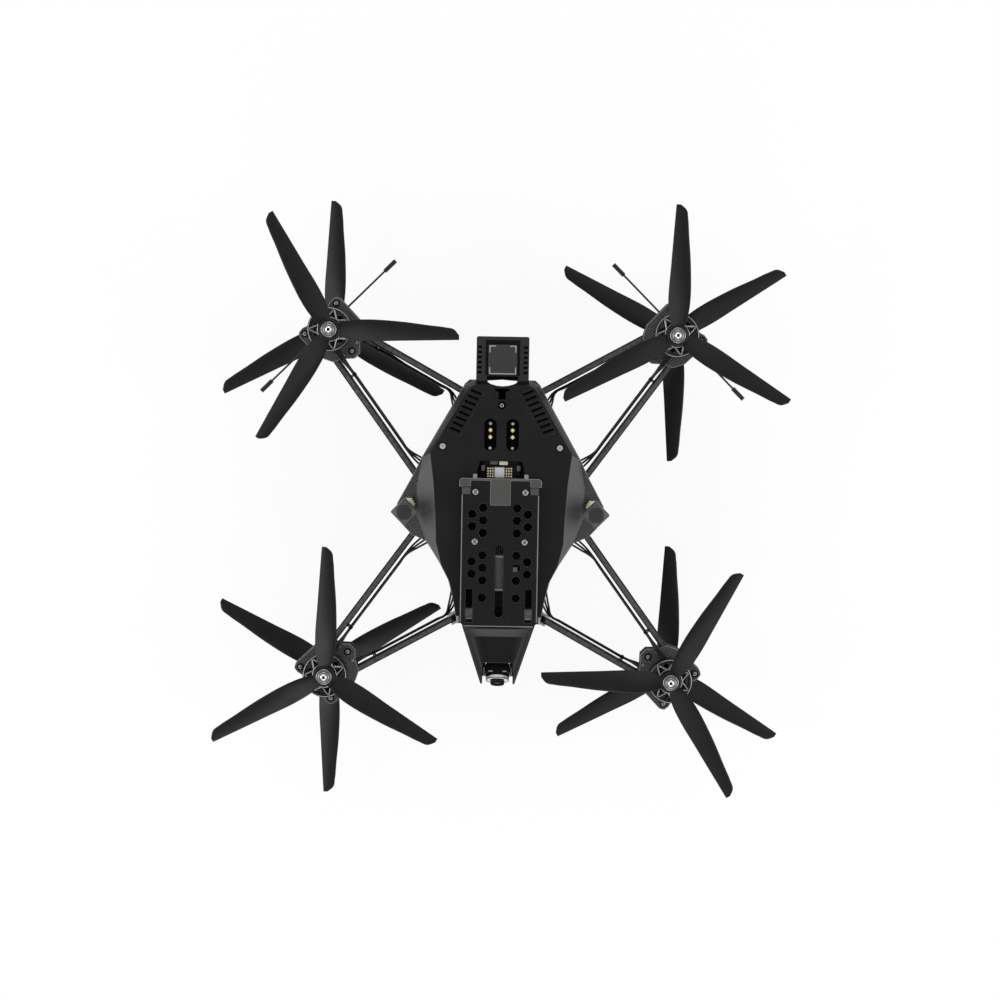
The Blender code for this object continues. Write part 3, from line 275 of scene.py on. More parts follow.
def metal(name, colour, roughness, mark_mm=0.5, bump=0.08):
    """Machined metal with tool marks of a given size."""
    made, tree, shader, place = new_material(name)
    marks = add(tree, "ShaderNodeTexNoise", {"Vector": place, "Scale": 1000 / mark_mm, "Detail": 4.0})
    rough = add(tree, "ShaderNodeMapRange", {
        "Value": marks.outputs["Fac"], "From Min": 0.3, "From Max": 0.7,
        "To Min": roughness - MARK_SPREAD, "To Max": roughness + MARK_SPREAD})
    raised = add(tree, "ShaderNodeBump", {
        "Height": marks.outputs["Fac"], "Strength": bump, "Distance": MARK_DEPTH})
    shaded = [MARK_SHADE * v for v in linear(colour)[:3]] + [1.0]
    tone = add(tree, "ShaderNodeMix", {
        "Factor": marks.outputs["Fac"], COLOUR_A: linear(colour), COLOUR_B: shaded}, data_type="RGBA")
    hook(tree, tone.outputs[COLOUR_OUT], shader, "Base Color")
    hook(tree, rough.outputs[0], shader, "Roughness")
    hook(tree, raised.outputs[0], shader, "Normal")
    shader.inputs["Metallic"].default_value = 1.0
    return made


# zinc-plated steel: a clouded grey with a blurred highlight
STEEL = metal("zinc_plated_steel", "#a6a6a7", 0.5)
# ground and polished steel: the brightest point of each motor
BRIGHT = metal("polished_shaft_steel", "#f0f0f0", 0.42)
# turned aluminium: mid grey, with a ring of light on every step
NUT = metal("turned_aluminium_nut", "#9a9a9b", 0.4)
# aluminium cut after anodising: thin bright outlines
EDGE = metal("bare_cut_aluminium_edge", "#a4a4a5", 0.4)
# black anodised aluminium: dark, but with a metal's broad shine
ANODISED = metal("black_anodised_aluminium", "#1d1d1e", 0.36)
# gold plating: a warm yellow ring round each contact
GOLD = metal("gold_plated_contact", "#c9a850", 0.3)
# stacked steel sheet: dull grey teeth
LAMINATION = metal("stator_lamination_steel", "#636364", 0.5)
# enamelled copper wire: brown-black coils, just warmer than the steel
WINDING = metal("enamelled_copper", "#403a36", 0.45)
# silver anodised aluminium: a light satin grey from every side
SILVER = grained("silver_anodised_ring", "#949495", "#a6a6a7", 0.5, 0.35, specular=0.5, bump=0.05)
# bare milled aluminium: nearly white where it faces the light
BARE = grained("bare_milled_aluminium", "#cfcfcf", "#e6e6e6", 0.6, 0.4, specular=0.6, bump=0.1)
# thin gold over nickel: pale cream points with a small shine
PALE_GOLD = grained("pale_gold_plating", "#d8cf9c", "#f5f0dc", 0.5, 0.3, specular=0.6, bump=0.05)
print(len(bpy.data.materials), "materials with the metals")

# %% [markdown]
# ## Carbon fibre plate
# Carbon plate is woven from flat bundles of fibre, the tows. In twill a tow passes over two and under
# two, one step aside in each row, which draws diagonal ribs; in plain weave it passes over one and under
# one, like a chessboard. Tows along X and along Y catch light from different sides, so two greys and a
# small crown on each tow are enough. Where a plate is cut, its layers show as stripes of a duller grey.
# Tows are 1.4 mm wide, as on real cloth. Layers are really 0.25 mm thick and fibres far thinner: they are
# drawn as bands 1.6 mm apart and streaks of about 1 mm, so that they show.

# %% Carbon fibre plate
TOW = 1.4 * MM
TWILL, PLAIN = 4.0, 2.0
STREAK_SCALE = 900.0
BAND_SCALE = 200.0
FLECK_MM = 2.6
CUT_SHADE = 0.3
FLAT = 0.9


def woven(name, dark, light, cut, cut_angle, second, layer, repeat):
    """Weave over X and a second axis, and cut layers over a third, all turned by an angle about Z."""
    made, tree, shader, place = new_material(name)
    turned_place = add(tree, "ShaderNodeMapping", {"Vector": place, "Rotation": (0, 0, cut_angle)})
    split = add(tree, "ShaderNodeSeparateXYZ", {0: turned_place.outputs[0]})
    tows = [add(tree, "ShaderNodeMath", {0: split.outputs[axis], 1: TOW}, operation="DIVIDE")
            for axis in ("X", second)]
    column, row = [add(tree, "ShaderNodeMath", {0: tow.outputs[0]}, operation="FLOOR") for tow in tows]
    step = add(tree, "ShaderNodeMath", {0: column.outputs[0], 1: row.outputs[0]}, operation="SUBTRACT")
    turn = add(tree, "ShaderNodeMath", {0: step.outputs[0], 1: repeat}, operation="FLOORED_MODULO")
    over = add(tree, "ShaderNodeMath", {0: turn.outputs[0], 1: repeat / 2 - 0.5}, operation="GREATER_THAN")
    crowns = []
    for tow in tows:
        part = add(tree, "ShaderNodeMath", {0: tow.outputs[0]}, operation="FRACT")
        arch = add(tree, "ShaderNodeMath", {0: part.outputs[0], 1: math.pi}, operation="MULTIPLY")
        crowns.append(add(tree, "ShaderNodeMath", {0: arch.outputs[0]}, operation="SINE"))
    crown = add(tree, "ShaderNodeMix", {
        "Factor": over.outputs[0], FLOAT_A: crowns[0].outputs[0], FLOAT_B: crowns[1].outputs[0]})
    fibre = add(tree, "ShaderNodeTexNoise", {"Vector": place, "Scale": STREAK_SCALE, "Detail": 2.0})
    uneven = add(tree, "ShaderNodeMapRange", {
        "Value": fibre.outputs["Fac"], "From Min": 0.3, "From Max": 0.7})
    shade = add(tree, "ShaderNodeMath", {0: over.outputs[0], 1: uneven.outputs[0]}, operation="MULTIPLY")
    lit = add(tree, "ShaderNodeMath", {0: shade.outputs[0], 1: crown.outputs[0]}, operation="MULTIPLY")
    weave = add(tree, "ShaderNodeMix", {
        "Factor": lit.outputs[0], COLOUR_A: linear(dark), COLOUR_B: linear(light)}, data_type="RGBA")
    stripes = cut_layers(tree, place, turned_place, cut, layer)
    up = add(tree, "ShaderNodeSeparateXYZ", {0: add(tree, "ShaderNodeNewGeometry").outputs["True Normal"]})
    level = add(tree, "ShaderNodeMath", {0: up.outputs["Z"]}, operation="ABSOLUTE")
    flat = add(tree, "ShaderNodeMath", {0: level.outputs[0], 1: FLAT}, operation="GREATER_THAN")
    return made, tree, shader, weave, stripes, flat, crown


def cut_layers(tree, place, turned_place, cut, layer):
    """Stripes of a cut edge along one axis, broken up by flecks."""
    layers = add(tree, "ShaderNodeTexWave", {
        "Vector": turned_place.outputs[0], "Scale": BAND_SCALE, "Distortion": 0.6, "Detail": 2.0,
        "Detail Scale": 2.0}, bands_direction=layer)
    fleck = add(tree, "ShaderNodeTexNoise", {"Vector": place, "Scale": 1000 / FLECK_MM, "Detail": 3.0})
    worn = add(tree, "ShaderNodeMapRange", {
        "Value": fleck.outputs["Fac"], "From Min": 0.35, "From Max": 0.65})
    cutting = add(tree, "ShaderNodeMix", {
        "Factor": 0.65, FLOAT_A: layers.outputs["Fac"], FLOAT_B: worn.outputs[0]})
    shaded = [CUT_SHADE * v for v in linear(cut)[:3]] + [1.0]
    return add(tree, "ShaderNodeMix", {
        "Factor": cutting.outputs[0], COLOUR_A: linear(cut), COLOUR_B: shaded}, data_type="RGBA")


print("weave of", TOW / MM, "mm tows")

# %% [markdown]
# ## Plates that lie flat and plates on edge
# A flat plate shows its weave from above and its layers at the rim. An arm or a skid is the same sheet
# stood on edge: from above it shows its layers, and the weave is on its sides. So the two finishes use
# the same weave with the roles changed, and an arm's pattern is turned to run along it. The black seal
# that soaks into a cut edge and the grey dust on an unsealed one are plain grained finishes.


# %% Plates that lie flat and plates on edge
def carbon_face(name, dark, light, cut, repeat):
    """A plate that lies flat: weave on top, layers on its edges."""
    made, tree, shader, weave, stripes, flat, crown = woven(name, dark, light, cut, 0.0, "Y", "Z", repeat)
    tint = add(tree, "ShaderNodeMix", {
        "Factor": flat.outputs[0], COLOUR_A: stripes.outputs[COLOUR_OUT],
        COLOUR_B: weave.outputs[COLOUR_OUT]}, data_type="RGBA")
    raised = add(tree, "ShaderNodeBump", {
        "Height": crown.outputs[0], "Strength": 0.25, "Distance": 0.15 * MM})
    hook(tree, tint.outputs[COLOUR_OUT], shader, "Base Color")
    hook(tree, raised.outputs[0], shader, "Normal")
    shader.inputs["Roughness"].default_value = 0.42
    shader.inputs["Specular IOR Level"].default_value = 0.22
    return made


def carbon_on_edge(name, dark, light, cut, angle):
    """A plate that stands on edge along an angle: layers on top, weave on its sides."""
    made, tree, shader, weave, stripes, flat, crown = woven(name, dark, light, cut, angle, "Z", "Y", TWILL)
    tint = add(tree, "ShaderNodeMix", {
        "Factor": flat.outputs[0], COLOUR_A: weave.outputs[COLOUR_OUT],
        COLOUR_B: stripes.outputs[COLOUR_OUT]}, data_type="RGBA")
    hook(tree, tint.outputs[COLOUR_OUT], shader, "Base Color")
    shader.inputs["Roughness"].default_value = 0.5
    shader.inputs["Specular IOR Level"].default_value = 0.35
    return made


# twill under clear resin: black, with grey diagonals in the light
PLATE = carbon_face("twill_carbon_plate", "#111112", "#29292b", "#4a4a4b", TWILL)
# plain weave under matt resin: a fine dark chessboard
BATTERY_PLATE = carbon_face("plain_weave_carbon_plate", "#0a0a0b", "#242426", "#4a4a4b", PLAIN)
# plain weave with a sanded face: greyer and paler than the other plates
MOUNT_PLATE = carbon_face("satin_carbon_mount", "#3d3d3e", "#747476", "#6a6a6b", PLAIN)
# carbon cut and left bare: a pale, dusty rim
CHAMFER = grained("cut_carbon_edge", "#646465", "#808081", 0.8, 0.45)
# carbon cut and sealed with glue: a black rim without shine
SEALED = grained("sealed_carbon_edge", "#070707", "#0d0d0e", 0.8, 0.6, specular=0.1)
print("plate finish with", len(PLATE.node_tree.nodes), "nodes")

# %% [markdown]
# ## Solids that keep their shape
# Plates, shells and brackets are right as they are. They only need small worn edges: weld the loose
# triangles, dissolve the flat ones into whole faces, bevel what is sharp, and let weighted normals keep
# the faces flat. The bevel can take a second finish, which makes the cut edge of a plate. Modifiers do
# all of it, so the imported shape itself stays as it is.


# %% Solids that keep their shape
def soften(node, width_mm, face, edge=None, segments=2, angle=30):
    """Finish and worn edges for a solid that stays."""
    thing = nodes[node]
    thing.data.materials.clear()
    thing.data.materials.append(face)
    thing.data.polygons.foreach_set("use_smooth", [True] * len(thing.data.polygons))
    weld = thing.modifiers.new("weld", "WELD")
    weld.merge_threshold = 0.01 * MM
    clean = thing.modifiers.new("whole faces", "DECIMATE")
    clean.decimate_type = "DISSOLVE"
    clean.angle_limit = math.radians(0.5)
    bevel = thing.modifiers.new("worn edge", "BEVEL")
    bevel.width = width_mm * MM
    bevel.segments = segments
    bevel.limit_method = "ANGLE"
    bevel.angle_limit = math.radians(angle)
    bevel.use_clamp_overlap = True
    if edge:
        thing.data.materials.append(edge)
        bevel.material = 1
    keep = thing.modifiers.new("flat faces", "WEIGHTED_NORMAL")
    keep.keep_sharp = True


soften("hull_shell", 0.4, SHELL)
soften("nose_shell", 0.6, NOSE)
# the stop's bevels take the pale TPU as a painted highlight along its edges
soften("battery_stop", 0.4, STOP, PALE_TPU, 1)
soften("tail_bracket", 0.4, TRAY)
soften("receiver_module", 0.5, LID)
soften("power_board", 0.2, SOLDER_MASK)
for side in ("left", "right"):
    # the sockets are black, deepened with painted shade where they sit sunk in the roof
    soften(f"power_socket_{side}", 0.4, SHADE_BLACK)
    soften(f"dipole_antenna_rear_{side}", 0.2, BLACK_CASE)
print("hull shell with", len(nodes["hull_shell"].modifiers), "modifiers")

# %% [markdown]
# ## Plates, arms and skids
# Eight arms of carbon plate stand on edge, two to a corner, at two angles to the hull. Each angle and
# hand has its own finish, so that the weave runs along the arm. The arms' rims are sealed and dark, and
# those of the flat plates are left bare and show as a thin grey outline.

# %% Plates, arms and skids
BOTH = (1, -1)
CORNERS = ("front_left", "front_right", "rear_left", "rear_right")
SIDES = {"front_left": (1, -1), "front_right": (-1, -1), "rear_left": (1, 1), "rear_right": (-1, 1)}
ARM_ANGLES = {"inner": math.radians(54.0), "outer": math.radians(28.9)}
for kind, angle in ARM_ANGLES.items():
    for hand in BOTH:
        # twill on edge: black sides, and a grey top with dark layers running along the arm
        arm_finish = carbon_on_edge(
            f"carbon_arm_{kind}_{hand}", "#161617", "#3c3c3e", "#5a5a5b", -hand * angle)
        for corner in CORNERS:
            if SIDES[corner][0] * SIDES[corner][1] == hand:
                soften(f"arm_{kind}_{corner}", 0.95, arm_finish, SEALED, 1)
for corner in CORNERS:
    for level in ("upper", "lower"):
        soften(f"mount_{level}_{corner}", 0.45, MOUNT_PLATE, CHAMFER, 1)
soften("bottom_plate", 0.35, PLATE, CHAMFER, 1)
soften("mid_plate", 0.45, MOUNT_PLATE, CHAMFER, 1)
soften("battery_plate", 0.5, BATTERY_PLATE, None, 1)
# twill on edge, as the arms, with a darker cut
SKID = carbon_on_edge("carbon_skid", "#161617", "#3c3c3e", "#4b4b4c", math.radians(90))
for side in ("left", "right"):
    soften(f"landing_skid_{side}", 0.4, SKID, CHAMFER, 1)
print(len(ARM_ANGLES) * len(CORNERS), "arms,", 2 * len(CORNERS), "mounts")

# %% [markdown]
# ## Making meshes
# Three small tools make most of the loose shapes. A turned mesh takes a profile of radius and height in
# millimetres, as on a lathe, and can cut flats for a spanner or a key. A slab is a flat outline raised
# between two heights. A bar is a straight strip between two points.


# %% Making meshes
def plain(build, name):
    """Mesh of a bmesh, with outward faces."""
    bmesh.ops.recalc_face_normals(build, faces=build.faces)
    made = bpy.data.meshes.new(name)
    build.to_mesh(made)
    build.free()
    return made


def turned(profile, segments=64, sides=0):
    """Closed mesh of (radius, height) points in mm about Z; with sides, a third value 1 makes flats."""
    build = bmesh.new()
    rings = []
    for radius, height, *flat in profile:
        ring = []
        for number in range(segments if radius else 1):
            angle = 2 * math.pi * number / segments
            reach = radius
            if flat:
                half = math.pi / sides
                reach = radius / math.cos(angle % (2 * half) - half)
            ring.append(build.verts.new((
                reach * MM * math.cos(angle), reach * MM * math.sin(angle), height * MM)))
        rings.append(ring)
    for one, two in zip(rings, rings[1:] + rings[:1]):
        if len(one) == len(two) == 1:
            continue
        for number in range(segments):
            after = number + 1
            corners = (one[number % len(one)], one[after % len(one)],
                       two[after % len(two)], two[number % len(two)])
            build.faces.new(list(dict.fromkeys(corners)))
    return plain(build, "turned")


def slab(outline, low, high):
    """Flat piece of an outline in mm between two heights."""
    build = bmesh.new()
    foot = [build.verts.new((p[0] * MM, p[1] * MM, low * MM)) for p in outline]
    top = [build.verts.new((p[0] * MM, p[1] * MM, high * MM)) for p in outline]
    build.faces.new(foot[::-1])
    build.faces.new(top)
    for number in range(len(outline)):
        after = (number + 1) % len(outline)
        build.faces.new((foot[number], foot[after], top[after], top[number]))
    return plain(build, "slab")


def bar(start, end, width, low, high):
    """Straight strip between two points in mm."""
    along = (Vector(end) - Vector(start)).normalized()
    across = Vector((-along.y, along.x)) * width / 2
    outline = [Vector(start) + across, Vector(start) - across, Vector(end) - across, Vector(end) + across]
    return slab(outline, low, high)


print("a four-sided slab has", len(bar((0, 0), (1, 0), 1, 0, 1).polygons), "faces")

# %% [markdown]
# ## Tubes, worn edges and merging
# A tube follows a smooth curve through its points: a curve with a round bevel makes it, and becomes a
# plain mesh at once. Worn edges are bevelled in the mesh, and may be marked for a second finish. Merging
# gathers such parts, each with its finish and its place, into one mesh; a mirrored place turns the faces
# the right way out again. The result is put on its body with its place in its mesh.


# %% Tubes, worn edges and merging
def settled(carrier):
    """Plain mesh of an object with all its modifiers; the object goes."""
    graph = bpy.context.evaluated_depsgraph_get()
    made = bpy.data.meshes.new_from_object(carrier.evaluated_get(graph), depsgraph=graph)
    bpy.data.objects.remove(carrier)
    return made


def tube(points, radius):
    """Round cord of a radius along a smooth curve through points, in metres."""
    curve = bpy.data.curves.new("tube", "CURVE")
    curve.dimensions = "3D"
    curve.bevel_depth = radius
    curve.bevel_resolution = 3
    curve.use_fill_caps = True
    curve.resolution_u = 8
    spline = curve.splines.new("BEZIER")
    spline.bezier_points.add(len(points) - 1)
    for knot, point in zip(spline.bezier_points, points):
        knot.co = point
        knot.handle_left_type = knot.handle_right_type = "AUTO"
    carrier = bpy.data.objects.new("tube", curve)
    bpy.context.scene.collection.objects.link(carrier)
    made = settled(carrier)
    bpy.data.curves.remove(curve)
    return made


def bevelled(mesh, width_mm, segments=1, angle=25, finish=-1):
    """Bevels a mesh's sharp edges in place."""
    build = bmesh.new()
    build.from_mesh(mesh)
    edges = [edge for edge in build.edges
             if len(edge.link_faces) == 2 and edge.calc_face_angle() > math.radians(angle)]
    bmesh.ops.bevel(build, geom=edges, offset=width_mm * MM, segments=segments, affect="EDGES", profile=0.5,
                    material=finish, clamp_overlap=True)
    build.to_mesh(mesh)
    build.free()
    return mesh


def merged(name, parts, sharp=35):
    """One mesh of (mesh, finish, place) parts; a pair of finishes is for faces and bevelled edges."""
    pairs = [finish if isinstance(finish, tuple) else (finish, finish) for _, finish, _ in parts]
    finishes = list(dict.fromkeys(finish for pair in pairs for finish in pair))
    build = bmesh.new()
    for (mesh, _, place), pair in zip(parts, pairs):
        first_vert, first_face = len(build.verts), len(build.faces)
        build.from_mesh(mesh)
        build.verts.ensure_lookup_table()
        build.faces.ensure_lookup_table()
        bmesh.ops.transform(build, matrix=place, verts=build.verts[first_vert:])
        fresh = build.faces[first_face:]
        if place.determinant() < 0:
            bmesh.ops.reverse_faces(build, faces=fresh)
        for face in fresh:
            face.material_index = finishes.index(pair[min(face.material_index, 1)])
            face.smooth = True
    made = bpy.data.meshes.new(name)
    build.to_mesh(made)
    build.free()
    for finish in finishes:
        made.materials.append(finish)
    made.set_sharp_from_angle(angle=math.radians(sharp))
    return made


def piece(name, mesh, body, slot, *replaced):
    """Puts a finished mesh on a body."""
    made = bpy.data.objects.new(name, mesh)
    bpy.context.scene.collection.objects.link(made)
    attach(made, body)
    if replaced:
        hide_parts(*replaced)
    return made


HERE = Matrix.Identity(4)
print("a short tube has", len(tube([Vector((0, 0, 0)), Vector((0, 0, MM))], MM).polygons), "faces")

# %% [markdown]
# ## What repeats: round an axis
# Blades, spokes and stator teeth repeat evenly round an axis, so a geometry-node tree turns copies of its
# input round Z. It takes the count and the finish as inputs, and ends in real geometry with a material.


# %% What repeats: round an axis
def sockets(tree, *wanted):
    """Interface of a tree: geometry in and out, and named inputs between; returns their identifiers."""
    tree.interface.new_socket("Geometry", in_out="INPUT", socket_type="NodeSocketGeometry")
    named = {}
    for name, kind in wanted:
        made = tree.interface.new_socket(name, in_out="INPUT", socket_type=f"NodeSocket{kind}")
        named[name] = made.identifier
    tree.interface.new_socket("Geometry", in_out="OUTPUT", socket_type="NodeSocketGeometry")
    return named


def realised(tree, copies, given):
    """Ends a tree in real geometry with its finish."""
    real = add(tree, "GeometryNodeRealizeInstances", {0: copies.outputs[0]})
    coat = add(tree, "GeometryNodeSetMaterial", {
        "Geometry": real.outputs[0], "Material": given.outputs["Finish"]})
    add(tree, "NodeGroupOutput", {0: coat.outputs[0]})


ROUND = bpy.data.node_groups.new("repeat_round_z", "GeometryNodeTree")
ROUND_INPUTS = sockets(ROUND, ("Count", "Int"), ("Finish", "Material"))
given = add(ROUND, "NodeGroupInput")
spots = add(ROUND, "GeometryNodePoints", {"Count": given.outputs["Count"]})
number = add(ROUND, "GeometryNodeInputIndex")
share = add(ROUND, "ShaderNodeMath", {0: number.outputs[0], 1: given.outputs["Count"]}, operation="DIVIDE")
angle = add(ROUND, "ShaderNodeMath", {0: share.outputs[0], 1: 2 * math.pi}, operation="MULTIPLY")
turn = add(ROUND, "ShaderNodeCombineXYZ", {"Z": angle.outputs[0]})
copies = add(ROUND, "GeometryNodeInstanceOnPoints", {
    "Points": spots.outputs[0], "Instance": given.outputs["Geometry"], "Rotation": turn.outputs[0]})
realised(ROUND, copies, given)
print("tree:", ROUND.name, "with", len(ROUND.nodes), "nodes")

# %% [markdown]
# ## What repeats: at listed places
# Screws, pins and ribs repeat at places that follow no single rule. The second tree sets one model on
# every vertex of its input, turned as asked. Two short functions run the trees and hand back plain
# meshes.

# %% What repeats: at listed places
FASTEN = bpy.data.node_groups.new("fasteners_at_points", "GeometryNodeTree")
FASTEN_INPUTS = sockets(FASTEN, ("Fastener", "Object"), ("Turn", "Vector"), ("Finish", "Material"))
given = add(FASTEN, "NodeGroupInput")
model = add(FASTEN, "GeometryNodeObjectInfo", {"Object": given.outputs["Fastener"]})
copies = add(FASTEN, "GeometryNodeInstanceOnPoints", {
    "Points": given.outputs["Geometry"], "Instance": model.outputs["Geometry"],
    "Rotation": given.outputs["Turn"]})
realised(FASTEN, copies, given)


def repeated(mesh, tree, **values):
    """Plain mesh of a node tree run on a mesh; values are keyed by socket identifier."""
    carrier = bpy.data.objects.new("carrier", mesh)
    bpy.context.scene.collection.objects.link(carrier)
    step = carrier.modifiers.new("repeat", "NODES")
    step.node_group = tree
    for identifier, value in values.items():
        step[identifier] = value
    return settled(carrier)


def round_z(mesh, count, finish):
    """A mesh repeated evenly round Z."""
    return repeated(mesh, ROUND, **{ROUND_INPUTS["Count"]: count, ROUND_INPUTS["Finish"]: finish})


def fasteners(mesh, places, finish, turn=(0, 0, 0)):
    """One fastener mesh set at every place, in mm."""
    model = bpy.data.objects.new("fastener", mesh)
    bpy.context.scene.collection.objects.link(model)
    spots = bpy.data.meshes.new("spots")
    spots.from_pydata([[value * MM for value in place] for place in places], [], [])
    made = repeated(spots, FASTEN, **{
        FASTEN_INPUTS["Fastener"]: model, FASTEN_INPUTS["Turn"]: turn, FASTEN_INPUTS["Finish"]: finish})
    bpy.data.objects.remove(model)
    return made


print("tree:", FASTEN.name, "with", len(FASTEN.nodes), "nodes")

# %% [markdown]
# ## Propeller blades
# Three blades of glass-filled nylon on a common hub, eight inches across. A blade is a twisted wing:
# the section turns flatter towards the tip, because the tip runs through more air per turn. Stations
# give the leading and trailing edge at shares of the radius; a smooth curve runs through them, and a wing
# section with a round nose and a thin tail is lofted along. Near the hub the twist is held, as real
# blades do.

# %% Propeller blades
PROP_RADIUS = 101.6
PROP_PITCH = 90.0
TWIST_FROM = 0.27
THICKNESS, CAMBER, BELLY_SHARE = 0.26, 0.06, 0.55
STATIONS = (
    (0.05, 4.0, -4.0), (0.14, 6.6, -7.5), (0.27, 7.8, -9.1), (0.55, 6.2, -8.9),
    (0.77, 3.3, -8.6), (0.9, 1.6, -8.4), (0.965, -0.2, -8.3), (1.0, -4.6, -8.2),
)
LOFT_STEPS = 6
SECTION_STEPS = 12


def through(knots, at):
    """Value of a smooth curve through (place, value) knots."""
    spans = list(zip(knots, knots[1:]))
    slopes = [(b[1] - a[1]) / (b[0] - a[0]) for a, b in spans]
    ends = [slopes[0]] + [(a + b) / 2 for a, b in zip(slopes, slopes[1:])] + [slopes[-1]]
    for (a, b), rise, fall in zip(spans, ends, ends[1:]):
        if at <= b[0] or b is knots[-1]:
            width = b[0] - a[0]
            t = (at - a[0]) / width
            return ((2 * t ** 3 - 3 * t ** 2 + 1) * a[1] + (t ** 3 - 2 * t ** 2 + t) * width * rise
                    + (3 * t ** 2 - 2 * t ** 3) * b[1] + (t ** 3 - t ** 2) * width * fall)


def section(fraction):
    """Ring of one wing section at a fraction of the radius, blade along X with its nose towards +Y."""
    lead_edge = through([(f, nose) for f, nose, _ in STATIONS], fraction)
    trail_edge = through([(f, tail) for f, _, tail in STATIONS], fraction)
    chord = lead_edge - trail_edge
    reach = fraction * PROP_RADIUS
    slope = PROP_PITCH / (2 * math.pi * max(reach, TWIST_FROM * PROP_RADIUS))
    ring = []
    for number in range(2 * SECTION_STEPS):
        turn = math.pi * number / SECTION_STEPS
        back = (1 - math.cos(turn)) / 2
        half = THICKNESS * (math.sqrt(back) - back) * chord if back < 1 else 0
        y = lead_edge - back * chord
        bow = CAMBER * chord * 4 * back * (1 - back)
        lift = bow + (half if turn < math.pi else -BELLY_SHARE * half)
        ring.append(Vector((reach, y, slope * y + lift)) * MM)
    return ring


def blade():
    """One blade lofted through its sections, closed at both ends."""
    fractions = [STATIONS[0][0]]
    for one, two in zip(STATIONS, STATIONS[1:]):
        fractions += [one[0] + (two[0] - one[0]) * (step + 1) / LOFT_STEPS for step in range(LOFT_STEPS)]
    build = bmesh.new()
    rings = [[build.verts.new(point) for point in section(fraction)] for fraction in fractions]
    for one, two in zip(rings, rings[1:]):
        for number in range(len(one)):
            after = (number + 1) % len(one)
            build.faces.new((one[number], one[after], two[after], two[number]))
    build.faces.new(rings[0])
    build.faces.new(rings[-1])
    bmesh.ops.remove_doubles(build, verts=build.verts, dist=0.005 * MM)
    return plain(build, "blade")


BLADES = round_z(blade(), 3, BLADE)
print("three blades with", len(BLADES.polygons), "faces")

# %% [markdown]
# ## Propellers
# The blades meet in a turned hub with a recess for the nut. At each corner one propeller turns above the
# arm and one below, in opposite directions, so half of them are mirrored. Every propeller has stopped at
# an angle of its own, listed here for the upper and the lower one.

# %% Propellers
HUB = turned([
    (2.7, -4.0), (7.6, -4.0), (8.3, -3.3), (8.3, 3.0), (7.9, 3.7), (7.3, 4.0), (6.4, 4.0), (6.4, 3.5),
    (2.7, 3.5)])
ROTORS = {
    "front_left": (61.3, 87.2, 1), "front_right": (87.2, 32.9, -1),
    "rear_left": (87.0, 32.9, -1), "rear_right": (0.9, 87.2, 1),
}
HEIGHTS = {"upper": 94.6, "lower": 26.4}
for corner, (upper_angle, lower_angle, spin) in ROTORS.items():
    for level, angle, hand in (("upper", upper_angle, spin), ("lower", lower_angle, -spin)):
        middle = joint_at[f"spin_{level}_{corner}"].copy()
        middle.z = HEIGHTS[level] * MM
        set_at = Matrix.Translation(middle) @ Matrix.Rotation(math.radians(angle), 4, "Z")
        place = set_at @ Matrix.Diagonal((1, hand, 1, 1))
        name = f"bladed_propeller_{level}_{corner}"
        mesh = merged(name, [(BLADES, BLADE, place), (HUB, BLADE, set_at)], 45)
        piece(name, mesh, f"rotor_{level}_{corner}", "propeller", f"propeller_{level}_{corner}")
print("propeller:", len(mesh.polygons), "faces")

# %% [markdown]
# ## Motor bells
# The bell is the turning half of each motor: a thin can that carries the magnets, joined to the shaft by
# a spoked roof that draws air through the windings. It is turned from aluminium, anodised black, and
# then the edges are cut once more, which leaves them bright. Seven V-shaped pairs of spokes are repeated
# round the axis. The nut that holds the propeller is turned too, with fine steps and a hollow shaft.

# %% Motor bells
SPOKE_PAIRS = 7
SPOKE_FROM, SPOKE_TO, SPOKE_WIDTH = 9.0, 16.5, 1.3
spread = math.pi / SPOKE_PAIRS
vee = merged("vee", [
    (bar((SPOKE_FROM, 0.0), (SPOKE_TO * math.cos(side * spread), SPOKE_TO * math.sin(side * spread)),
         SPOKE_WIDTH, 18.0, 19.9), ANODISED, HERE) for side in (-1, 1)])
SPOKES = round_z(vee, SPOKE_PAIRS, ANODISED)
CAN = turned([
    (15.7, 5.0), (17.1, 5.0), (17.4, 5.3), (17.4, 18.6), (16.5, 19.8), (15.8, 20.0), (15.7, 19.8)], 96)
CAP = turned([
    (2.5, 17.0), (5.5, 17.0), (6.5, 18.0), (9.4, 18.0), (9.7, 18.3), (9.7, 19.6), (9.4, 20.0), (2.5, 20.0)])
for cut in (SPOKES, CAP):
    bevelled(cut, 0.38, finish=1)
RIM = turned([(16.35, 19.9), (16.55, 19.85), (16.9, 19.4), (16.7, 19.2), (16.3, 19.6)], 96)
LINER = turned([(14.9, 5.6), (15.7, 5.6), (15.7, 17.4), (14.9, 17.4)], 96)
NUT_BODY = turned([
    (2.35, 28.6), (6.0, 28.6), (6.0, 29.8), (5.75, 30.0), (5.3, 30.0), (5.2, 29.8), (4.95, 29.8),
    (4.85, 30.0), (4.6, 30.0), (4.5, 29.3), (4.2, 29.3), (4.2, 32.8), (3.8, 33.2), (3.4, 33.2), (3.3, 33.0),
    (3.0, 33.0), (2.9, 33.2), (2.35, 33.2)])
SHAFT = turned([
    (0.0, 5.5), (2.0, 5.5), (2.3, 5.8), (2.5, 33.3), (1.9, 34.1), (1.35, 34.6), (1.25, 34.5), (1.25, 31.0),
    (0.0, 31.0)], 48)
# painted shade: a black plug fills the hollow shaft just below its rim
BORE_SHADE = turned([(0.0, 31.0), (1.27, 31.0), (1.27, 34.4), (0.0, 34.2)], 24)
MOTOR_FOOT = {"upper": 70.3, "lower": 50.7}


def motor_place(level, corner):
    """Foot of a motor; the lower ones hang upside down."""
    foot = joint_at[f"spin_{level}_{corner}"].copy()
    foot.z = MOTOR_FOOT[level] * MM
    return Matrix.Translation(foot) @ (HERE if level == "upper" else Matrix.Rotation(math.pi, 4, "X"))


